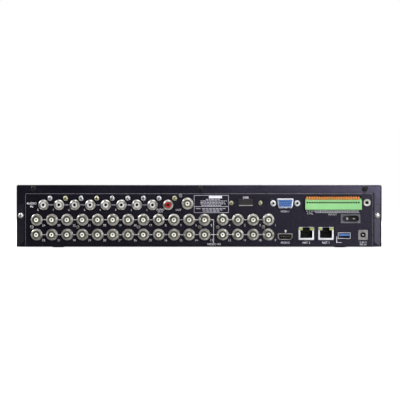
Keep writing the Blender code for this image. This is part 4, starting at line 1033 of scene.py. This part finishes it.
def terminal():
    """The pluggable terminal block: header on the case, plug that pulls out, levers that press in."""
    low, high = span("terminal_header")
    header = rounded_slab((low.x, high.x), (low.y, high.y), (low.z, high.z), 0.3, "Y", 1)
    made(hollowed(header, (0, -1, 0), 1.1, 8.5), "terminal_header_shell", "green_plastic",
         stands_for=("terminal_header",))
    pins = [slab((x - 0.4, x + 0.4), (REAR + 4.2, REAR + 9), (high.z - 5.9, high.z - 5.1)) for x in way_positions()]
    made(joined(pins), "terminal_header_pins", "zinc")

    low, high = span("terminal_plug")
    front, back = low.y, REAR - 1.3
    shelf = span("terminal_header")[1].z
    body = slab((low.x, high.x), (front, back), (low.z, shelf))
    pick(body, "EDGE", lambda edge: all(abs(corner.co.y - front * MM) < 1e-6 and corner.co.z < (low.z + 0.1) * MM
                                        for corner in edge.verts))
    bpy.ops.mesh.bevel(offset=0.8 * MM, segments=2, affect="EDGES")
    clear()
    softened(body, 0.18, 1, 50.0)
    mouths = []
    for x in way_positions():
        mouths.append(lathed([(1.04, -2), (1.04, 6.5)], (x, front + 5.5, shelf - 2.5), "rear", 14))
        mouths.append(slab((x + WAY_PITCH / 2 - 0.1, x + WAY_PITCH / 2 + 0.1), (front - 1, front + 0.3),
                           (low.z + 1.6, shelf - 5.2)))
    without(body, *mouths)
    wall = slab((low.x + 0.2, high.x - 0.2), (back - 1, back - 0.15), (shelf - 1, shelf + 1.6), 0.12, 1)
    tongue = slab((low.x + 1.5, high.x - 1.5), (back - 1, REAR + 3.8), (low.z + 1.5, shelf - 1.5), 0.3, 1)
    ribs = [slab((x + WAY_PITCH / 2 - 0.16, x + WAY_PITCH / 2 + 0.16), (back - 7.6, back - 0.5), (shelf - 0.5, shelf + 1.2))
            for x in way_positions()[:-1]]
    ends = [slab((side - 0.9, side + 0.9), (front + 1.5, back - 0.3), (shelf - 0.5, shelf + 0.25), 0.1, 1)
            for side in (low.x + 1.1, high.x - 1.1)]
    made(joined([body, wall, tongue, *ribs, *ends]), "terminal_plug_moulding", "green_plastic", "terminal_plug",
         stands_for=("terminal_plug",))
    # Black tubes in the wire entries: painted shade inside the holes.
    throats = [lathed([(1.02, -5), (1.02, 4.9)], (x, front + 5.5, shelf - 2.5), "rear", 14) for x in way_positions()]
    made(joined(throats), "terminal_plug_throats", "deep_black", "terminal_plug")
    lever_bank()


def lever_bank():
    """The release levers, each with a stepped, ribbed tip."""
    low, high = span("release_levers")
    shelf = span("terminal_header")[1].z
    back = REAR - 1.3
    lever = slab((-0.84, 0.84), (back - 8.0, back - 3.1), (shelf + 0.32, high.z))
    pick(lever, "EDGE", lambda edge: all(corner.co.y < (back - 7.9) * MM and corner.co.z > (high.z - 0.1) * MM
                                         for corner in edge.verts))
    bpy.ops.mesh.bevel(offset=1.9 * MM, segments=4, affect="EDGES")
    clear()
    softened(lever, 0.3, 2, 40.0)
    without(lever, slab((-0.5, 0.5), (back - 5.0, back - 4.2), (high.z - 0.6, high.z + 1)))
    # The bar behind the levers takes the darkened orange: painted shade in the gaps between the levers.
    bar = slab((low.x, high.x), (back - 3.7, back - 2.7), (shelf + 0.32, shelf + 2.6), 0.15, 1)
    made(bar, "release_lever_bar", "painted_shade_orange", "release_levers", stands_for=("release_levers",))
    for number, x in enumerate(way_positions(), 1):
        twin = copied(lever, (x, 0, 0))
        made(twin, f"release_lever_{number}", "orange_plastic", "release_levers")
    bpy.data.objects.remove(lever)


# --------------------------------------------------------------------------- power switch


def power_switch():
    """The bezel and the dished rocker, with its two printed marks."""
    low, high = span("power_switch_bezel")
    x, z = (low.x + high.x) / 2, (low.z + high.z) / 2
    plate = rounded_slab((low.x, high.x), (low.y, REAR - 0.1), (low.z, high.z), 0.5, "Y", 2, soft=0.35)
    sleeve = slab((x - 9.3, x + 9.3), (REAR - 0.5, high.y), (z - 3.9, z + 3.9))
    applied(plate, "BOOLEAN", operation="UNION", solver="EXACT", object=sleeve)
    bpy.data.objects.remove(sleeve)
    opening = rounded_slab((x - 8.75, x + 8.75), (low.y - 2, REAR + 9.5), (z - 3.35, z + 3.35), 3.34, "Y", 10)
    made(without(plate, opening), "switch_bezel", "switch_plastic", stands_for=("power_switch_bezel",))

    pivot = Vector((x, REAR + 0.7, z))
    rocker = rounded_slab((x - 7.75, x + 7.75), (pivot.y - 3.85, pivot.y + 4.6), (z - 2.7, z + 2.7), 2.68, "Y", 10)
    for cut_x in (-6, -4.5, -3, -1.5, 0, 1.5, 3, 4.5, 6):
        edit(rocker)
        bpy.ops.mesh.select_all(action="SELECT")
        bpy.ops.mesh.bisect(plane_co=((x + cut_x) * MM, 0, 0), plane_no=(1, 0, 0))
        clear()
    for corner in rocker.data.vertices:
        across = abs(corner.co.x / MM - x) / 7.75
        if corner.co.y < pivot.y * MM:
            corner.co.y += 0.95 * (1 - across ** 1.6) * MM
        else:
            corner.co.y -= 3.0 * across ** 2 * MM
    softened(rocker, 0.3, 2, 48.0)
    circle = lathed([(1.25, 0), (1.25, 0.06), (0.85, 0.06), (0.85, 0.0)], (x - 3.1, pivot.y - 3.27, z), "rear", 24)
    turned_about(circle, -7.0, "Z", (x - 3.1, pivot.y - 3.27, z))
    bar = slab((x + 3.0, x + 5.4), (pivot.y - 3.44, pivot.y - 3.2), (z - 0.28, z + 0.28))
    turned_about(bar, 6.5, "Z", (x + 4.2, pivot.y - 3.3, z))
    for piece, name, look, stands_for in ((rocker, "rocker_cap", "black_plastic", ("power_rocker",)),
                                          (circle, "rocker_off_mark", "ink", ()), (bar, "rocker_on_mark", "ink", ())):
        made(turned_about(piece, -10, "Z", pivot), name, look, "power_rocker", stands_for=stands_for)


# --------------------------------------------------------------------------- printing


def rules():
    """The printed lines that tie each group of sockets together."""
    bars = []
    places = audio_places()[:8]
    for (left, z), (right, _) in zip(places, places[1:]):
        bars.append(stripe((left + 5.8, right - 5.8), (z - 0.3, z + 0.3)))
    made(joined(bars), "printed_audio_rule", "faint_ink")
    columns, rows = [], ()
    for number in range(1, 5):
        block_columns, rows = socket_places(f"video_input_block_{number}")
        columns += block_columns
    low_row, high_row = rows
    divider = (columns[11] + columns[12]) / 2 + 0.1
    bars = []
    for index, (left, right) in enumerate(zip(columns, columns[1:])):
        bars.append(stripe((left + 6.5, right - 6.5), (low_row - 0.35, low_row + 0.35)))
        if index != 11:
            bars.append(stripe((left + 6.5, right - 6.5), (high_row - 0.35, high_row + 0.35)))
    bars.append(stripe((columns[11] + 6.5, divider + 0.22), (high_row - 0.35, high_row + 0.35)))
    bars.append(stripe((divider - 0.22, divider + 0.22), (low_row + 0.36, high_row - 0.36)))
    bars.append(stripe((divider - 0.22, divider + 0.22), (5.4, low_row - 0.36)))
    made(joined(bars), "printed_video_rules", "ink")
    return columns, rows


def channel_numbers(columns, rows):
    """The numbers beside the video and audio inputs."""
    upper = (24, 23, 22, 21, 20, 19, 18, 17, 8, 7, 6, 5, 4, 3, 2, 1)
    lower = (32, 31, 30, 29, 28, 27, 26, 25, 16, 15, 14, 13, 12, 11, 10, 9)
    words = []
    for column, high_number, low_number in zip(columns, upper, lower):
        words.append(printed(str(high_number), column + 7.3, rows[1] - 5.9, 2.3))
        words.append(printed(str(low_number), column + 7.3, rows[0] - 5.9, 2.3))
    made(joined(words), "printed_video_numbers", "ink")
    words = [printed(str(8 - index), x - 5.9, z - 5.3, 2.1) for index, (x, z) in enumerate(audio_places()[:8])]
    made(joined(words), "printed_audio_numbers", "ink")


def plain_words():
    """Plain words that say what a group is for."""
    x_video = (span("video_input_block_3")[1].x + span("video_input_block_4")[0].x) / 2
    low, _ = span("rear_usb_port")
    marks = [("AUDIO", -174.4, 46.9, 2.3), ("IN", -174.4, 43.6, 2.3), ("AUDIO", -40.3, 40.6, 1.9),
             ("OUT", -40.3, 38.3, 1.9), ("OUT", -21.6, 40.2, 2.0), ("VIDEO IN", x_video + 0.4, 4.5, 2.4),
             ("DISK", centre("external_drive_port").x, 53.0, 2.2), ("MON 1", centre("dsub_monitor_port").x, 38.6, 2.1),
             ("MON 2", centre("digital_monitor_port").x, 6.1, 2.1), ("NET 2", centre("network_port_2").x, 6.1, 2.2),
             ("NET 1", centre("network_port_1").x, 6.1, 2.2), ("CTRL", 115.4, 36.5, 1.9), ("IN/OUT", 138.8, 35.5, 1.9),
             ("DC IN", centre("dc_inlet").x, 4.2, 1.8)]
    made(joined([printed(*mark) for mark in marks]), "printed_words", "ink")
    serial = [stripe((142.9, 143.5), (6.6, 12.8)), stripe((142.9, 148.3), (6.1, 6.6))]
    made(joined(serial), "printed_serial_mark", "ink")
    spot = centre("dc_inlet").x
    rings = [lathed([(0.9, 0), (0.9, INK_RISE), (0.6, INK_RISE), (0.6, 0)], (spot + shift, REAR, 6.7), "rear", 20)
             for shift in (-3.0, 3.0)]
    dot = lathed([(0.8, 0), (0.8, INK_RISE)], (spot, REAR, 6.7), "rear", 20)
    links = [stripe((spot - 2.0, spot - 0.9), (6.55, 6.85)), stripe((spot + 0.9, spot + 2.0), (6.55, 6.85))]
    made(joined([*rings, dot, *links]), "printed_polarity_mark", "faint_ink")
    spot = centre("digital_monitor_port")
    bulb = lathed([(1.1, 0), (1.1, INK_RISE)], (spot.x + 0.4, REAR, spot.z + 6.0), "rear", 20)
    stem = stripe((spot.x, spot.x + 0.8), (spot.z + 4.0, spot.z + 5.2))
    made(joined([bulb, stem]), "printed_dot_mark", "ink")


def terminal_legend():
    """The comb of lines under the terminal block, and a small bar for each way."""
    ways = way_positions()
    bars = [stripe((x + WAY_PITCH / 2 - 0.26, x + WAY_PITCH / 2 + 0.26), (38.0, 40.1)) for x in ways[3:-1]]
    bars += [stripe((ways[3] + 1.15, ways[-1] + 1.0), (37.3, 37.7))]
    made(joined(bars), "printed_way_comb", "ink")
    names = [stripe((x - 0.75, x + 0.7), (38.5, 39.7)) for x in ways]
    made(joined(names), "printed_way_names", "faint_ink")


def rating_label():
    """A framed label whose writing is only bars."""
    left, right, bottom, top, middle = -5.4, 30.8, 37.2, 55.6, 43.8
    frame_bars = [stripe((left, right), (top - 0.5, top)), stripe((left, right), (bottom, bottom + 0.5)),
                  stripe((left, left + 0.5), (bottom + 0.5, top - 0.5)),
                  stripe((right - 0.5, right), (bottom + 0.5, top - 0.5)),
                  stripe((left + 0.5, right - 0.5), (middle - 0.3, middle + 0.3))]
    made(joined(frame_bars), "printed_label_frame", "faint_ink")
    made(stripe((10.2, 23.8), (52.3, 54.9)), "printed_label_tab", "ink")
    lines = []
    widths = ((7.0, 1.8, 15.2), (1.5, 1.2, 27.6), (1.5, 1.2, 24.8), (1.5, 1.2, 26.4), (2.4, 1.2, 20.6))
    for row, (start, tall, length) in enumerate(widths):
        z = 51.2 - 1.55 * row
        x = start
        word = 0
        while x < start + length:
            step = (2.6, 1.7, 3.4, 2.1)[(word + row) % 4]
            lines.append(stripe((x, min(x + step, start + length)), (z - 0.42, z + 0.42)))
            x += step + 0.55
            word += 1
    for row in range(3):
        z = 41.7 - 1.4 * row
        for word in range(7 - row):
            x = 3.0 + 3.6 * word + 0.4 * row
            lines.append(stripe((x, x + 2.9), (z - 0.38, z + 0.38)))
    lines.append(stripe((-3.4, 1.4), (41.3, 42.1)))
    made(joined(lines), "printed_label_bars", "faint_ink")


# --------------------------------------------------------------------------- front


KEY_SIGNS = {"up_key": ("arrow", 0), "right_key": ("arrow", 90), "down_key": ("arrow", 180), "left_key": ("arrow", 270),
             "record_key": ("dot", 0), "play_key": ("arrow", 90), "menu_key": ("bars", 0), "back_key": ("arrow", 270),
             "enter_key": ("ring", 0)}


def sign(kind, turn, x, y, z):
    """A small printed sign on a key."""
    if kind == "arrow":
        piece = lathed([(1.5, 0), (1.5, INK_RISE)], (x, y, z), "front", 3)
        return turned_about(piece, turn, "Y", (x, y, z))
    if kind == "dot":
        return lathed([(1.2, 0), (1.2, INK_RISE)], (x, y, z), "front", 24)
    if kind == "ring":
        return lathed([(1.9, 0), (1.9, INK_RISE), (1.5, INK_RISE), (1.5, 0)], (x, y, z), "front", 28)
    return joined([slab((x - 1.6, x + 1.6), (y, y + INK_RISE), (z + shift - 0.2, z + shift + 0.2))
                   for shift in (-1.0, 0.0, 1.0)])


def front_keys():
    """Key caps with soft edges and a shallow dish, and their signs."""
    for node, (kind, turn) in KEY_SIGNS.items():
        low, high = span(node)
        middle = (low + high) / 2
        half_x, half_z = (high.x - low.x) / 2 - 0.8, (high.z - low.z) / 2 - 0.8
        if node == "enter_key":
            cap = lathed([(half_x + 0.8, low.y - FACE + 0.8), (half_x + 0.8, -2.7), (half_x, -2.7), (half_x, 0.75),
                          (half_x - 0.35, 1.2), (half_x - 1.2, 1.15), (half_x - 2.4, 0.95)],
                         (middle.x, FACE, middle.z), "front", 48)
        else:
            cap = rounded_slab((middle.x - half_x, middle.x + half_x), (FACE - 3.2, high.y),
                               (middle.z - half_z, middle.z + half_z), 1.5, "Y", 5, soft=0.45)
            skirt = rounded_slab((low.x, high.x), (FACE - 3.9, FACE - 2.7), (low.z, high.z), 2.2, "Y", 4)
            cap = joined([cap, skirt])
        made(cap, f"{node}_cap", "key_plastic", node, stands_for=(node,))
        made(sign(kind, turn, middle.x, high.y - (0.25 if node == "enter_key" else 0.0) - INK_RISE, middle.z),
             f"{node}_sign", "ink", node)
    low, high = span("power_button")
    middle = (low + high) / 2
    radius = (high.x - low.x) / 2 - 0.8
    cap = lathed([(radius + 0.8, -3.9), (radius + 0.8, -2.7), (radius, -2.7), (radius, 0.7), (radius - 0.4, 1.2),
                  (radius - 1.6, 1.2), (radius - 2.6, 0.7), (radius - 4.5, 0.45)], (middle.x, FACE, middle.z), "front", 56)
    made(cap, "power_button_cap", "key_plastic", "power_button", stands_for=("power_button",))
    ring = lathed([(2.5, 0.44), (2.5, 0.5), (2.0, 0.5), (2.0, 0.44)], (middle.x, FACE, middle.z), "front", 40)
    notch = slab((middle.x - 0.8, middle.x + 0.8), (FACE, FACE + 2), (middle.z + 1.2, middle.z + 3))
    without(ring, notch)
    line = slab((middle.x - 0.25, middle.x + 0.25), (FACE + 0.44, FACE + 0.5), (middle.z + 0.6, middle.z + 3.0))
    made(joined([ring, line]), "power_button_sign", "ink", "power_button")


def fascia():
    """The moulded front with soft edges, its window, lamps and sockets."""
    low, high = span("front_fascia")
    body = rounded_slab((low.x, high.x), (low.y, high.y), (low.z, high.z), 3.0, "Y", 5)
    pick(body, "FACE", lambda face: face.normal.y > 0.99)
    bpy.ops.mesh.region_to_loop()
    bpy.ops.mesh.bevel(offset=1.6 * MM, segments=4, affect="EDGES")
    clear()
    hollowed(body, (0, -1, 0), 2.4, high.y - low.y - 2.4)
    tools = []
    for node in KEY_SIGNS:
        if node == "enter_key":
            continue
        start, end = span(node)
        tools.append(rounded_slab((start.x + 0.45, end.x - 0.45), (high.y - 6, high.y + 3),
                                  (start.z + 0.45, end.z - 0.45), 1.85, "Y", 4))
    for node in ("enter_key", "power_button"):
        start, end = span(node)
        middle = (start + end) / 2
        tools.append(lathed([((end.x - start.x) / 2 - 0.45, -6), ((end.x - start.x) / 2 - 0.45, 3)],
                            (middle.x, FACE, middle.z), "front", 56))
    start, end = span("status_window")
    tools.append(rounded_slab((start.x + 1.65, end.x - 1.65), (high.y - 6, high.y + 3), (start.z + 1.65, end.z - 1.65),
                              2.35, "Y", 4))
    start, end = span("front_usb_ports")
    for x in (start.x + 6.55, end.x - 6.55):
        tools.append(rounded_slab((x - 6.9, x + 6.9), (high.y - 6, high.y + 3),
                                  (start.z - 0.3, end.z + 0.3), 0.6, "Y", 2))
    without(body, *tools)
    groove = slab((-60, HALF + 3), (high.y - 0.5, high.y + 2), (11.6, 12.2))
    without(body, groove)
    made(body, "fascia_moulding", "fascia_plastic", stands_for=("front_fascia",))

    start, end = span("status_window")
    pane = rounded_slab((start.x + 2, end.x - 2), (FACE - 2.3, end.y), (start.z + 2, end.z - 2), 2.0, "Y", 5, soft=0.3)
    rim = rounded_slab((start.x, end.x), (start.y, FACE - 2.75), (start.z, end.z), 2.5, "Y", 4)
    made(joined([pane, rim]), "smoked_window", "window_plastic", stands_for=("status_window",))
    lamps = [slab((x - 1.6, x + 1.6), (FACE - 0.06, FACE), (51.4, 52.2)) for x in (-40, -32, -24)]
    made(joined(lamps), "fascia_lamps", "blue_lamp")
    rear_wall = slab((start.x + 8, end.x - 8), (FACE - 5.2, FACE - 4.2), (start.z + 5, end.z - 5))
    made(rear_wall, "window_display", "deep_black")


def front_serial_sockets():
    node = "front_usb_ports"
    low, high = span(node)
    carrier = slab((low.x, high.x), (FACE - 7.6, FACE - 6.2), (low.z, high.z), 0.2, 1)
    shells, tongues, strips = [carrier], [], []
    for x in (low.x + 6.55, high.x - 6.55):
        z = (low.z + high.z) / 2
        shell = rounded_slab((x - 6.55, x + 6.55), (FACE - 7, FACE - 0.4), (low.z, high.z), 0.5, "Y", 3)
        shells.append(hollowed(shell, (0, 1, 0), 0.42, 6.0))
        tongues.append(slab((x - 5.4, x + 5.4), (FACE - 7, FACE - 1.6), (z + 0.1, z + 1.9), 0.2, 1))
        strips += [slab((x - 4.0 + 2.3 * n, x - 3.0 + 2.3 * n), (FACE - 6, FACE - 2), (z, z + 0.12)) for n in range(4)]
    made(joined(shells), "front_socket_shells", "zinc", stands_for=(node,))
    made(joined(tongues), "front_socket_tongues", "white_plastic")
    made(joined(strips), "front_socket_contacts", "gold")


# --------------------------------------------------------------------------- inside


INSIDE_LOOKS = {
    "main_board": "board", "upper_board": "board", "front_key_board": "board", "processor_heatsink": "aluminium",
    "clock_battery": "nickel", "drive_cage": "steel", "hard_drive_1": "aluminium", "hard_drive_2": "aluminium",
    "fan_frame": "black_plastic", "fan_rotor": "black_plastic", "front_ribbon_cable": "grey_cable",
    "drive_1_data_cable": "red_cable", "drive_2_data_cable": "red_cable", "base_chassis": "tray_coat",
}


def inside():
    """The CAD pieces that keep their own shape get their finishes."""
    for node, look in INSIDE_LOOKS.items():
        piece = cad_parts[node]
        piece.data.materials.clear()
        piece.data.materials.append(FINISHES[look])
    for number in (1, 2):
        low, high = span(f"hard_drive_{number}")
        label = slab((low.x + 12, high.x - 12), (low.y + 30, high.y - 30), (high.z, high.z + 0.1))
        made(label, f"hard_drive_{number}_label", "white_plastic")
        bars = [slab((low.x + 18, high.x - 18 - 9 * (n % 3)), (low.y + 40 + 8 * n, low.y + 43 + 8 * n),
                     (high.z + 0.1, high.z + 0.14)) for n in range(8)]
        made(joined(bars), f"hard_drive_{number}_label_bars", "black_plastic")
    low, high = span("main_board")
    cans = []
    for number in range(7):
        spot = (-168 + 14.5 * number, -74, high.z - 1.6 - 0.05)
        cans.append(lathed([(3.1, 0), (3.2, 0.3), (3.2, 1.2), (3.05, 1.35), (3.2, 1.5), (3.2, 7.6), (2.9, 8.0), (2.4, 8.0)],
                           spot, "up", 24))
    made(joined(cans), "board_capacitors", "steel")


# --------------------------------------------------------------------------- stage


def stage():
    """A pale floor, soft lights, and the camera."""
    clear()
    bpy.ops.mesh.primitive_plane_add(size=14.0, location=(0, 0, 0))
    floor = settle(bpy.context.object)
    floor.name = "studio_floor"
    paper = bpy.data.materials.new("pale floor")
    paper.use_nodes = True
    tree = paper.node_tree
    shader = tree.nodes["Principled BSDF"]
    glossy = put(tree, "LightPath").outputs["Is Glossy Ray"]
    paper_tone = blend_tone(tree, glossy, tone(0.85, 0.85, 0.85), tone(0.20, 0.20, 0.20))
    tree.links.new(paper_tone, shader.inputs["Base Color"])
    shader.inputs["Roughness"].default_value = 0.9
    shader.inputs["Specular IOR Level"].default_value = 0.1
    shader.inputs["Emission Color"].default_value = tone(1, 1, 1)
    seen = put(tree, "LightPath").outputs["Is Camera Ray"]
    tree.links.new(times(tree, seen, 1.0), shader.inputs["Emission Strength"])
    floor.data.materials.append(paper)

    world = bpy.data.worlds.new("studio")
    world.use_nodes = True
    tree = world.node_tree
    background = tree.nodes["Background"]
    seen = put(tree, "LightPath").outputs["Is Camera Ray"]
    tree.links.new(ramp(tree, seen, 0.0, 1.0, 0.015, 1.0), background.inputs["Strength"])
    background.inputs["Color"].default_value = tone(1, 1, 1)
    bpy.context.scene.world = world

    lights = {
        "right_softbox": ((0.95, -3.9, 0.4), (0.1, REAR * MM, 0.04), 1.2, 1.0, 42.0),
        "left_key": ((-1.3, -1.1, 1.1), (0.0, REAR * MM, 0.04), 0.5, 0.5, 24.0),
        "high_softbox": ((0.3, -1.0, 1.5), (0.05, REAR * MM, 0.04), 0.8, 0.5, 11.0),
        "top_softbox": ((0.35, -0.3, 1.6), (0.0, -0.1, 0.0), 1.6, 0.7, 6.0),
        "front_fill": ((0.6, 2.4, 0.9), (0.0, 0.15, 0.04), 1.6, 1.2, 34.0),
        "far_left_softbox": ((-2.3, 1.8, 1.9), (0.0, 0.0, 0.06), 2.4, 1.6, 34.0),
        "far_right_softbox": ((2.5, 1.5, 1.6), (0.0, 0.0, 0.06), 2.0, 1.6, 22.0),
    }
    for name, (place, aim, wide, tall, power) in lights.items():
        lamp = bpy.data.lights.new(name, "AREA")
        lamp.shape = "RECTANGLE"
        lamp.size, lamp.size_y, lamp.energy = wide, tall, power
        holder = bpy.data.objects.new(name, lamp)
        holder.location = place
        holder.rotation_euler = (Vector(aim) - Vector(place)).to_track_quat("-Z", "Y").to_euler()
        bpy.context.scene.collection.objects.link(holder)

    lens = bpy.data.cameras.new("camera")
    lens.lens, lens.sensor_width = 320.0, 36.0
    holder = bpy.data.objects.new("camera", lens)
    place = Vector((0.9, REAR - 3700.0, 66.0)) * MM
    aim = Vector((0.9, REAR, 50.6)) * MM
    holder.location = place
    holder.rotation_euler = (aim - place).to_track_quat("-Z", "Y").to_euler()
    bpy.context.scene.collection.objects.link(holder)
    bpy.context.scene.camera = holder
    bpy.context.scene.view_settings.view_transform = "Standard"


def build():
    stage()
    cover()
    panel()
    fixing_screws()
    feet()
    bayonet_sockets()
    phono_jacks()
    dsub()
    drive_socket()
    digital_socket()
    serial_socket()
    for number in (1, 2):
        network_socket(number)
    power_inlet()
    ring_jack()
    terminal()
    power_switch()
    columns, rows = rules()
    channel_numbers(columns, rows)
    plain_words()
    terminal_legend()
    rating_label()
    fascia()
    front_keys()
    front_serial_sockets()
    inside()
    clear()


build()
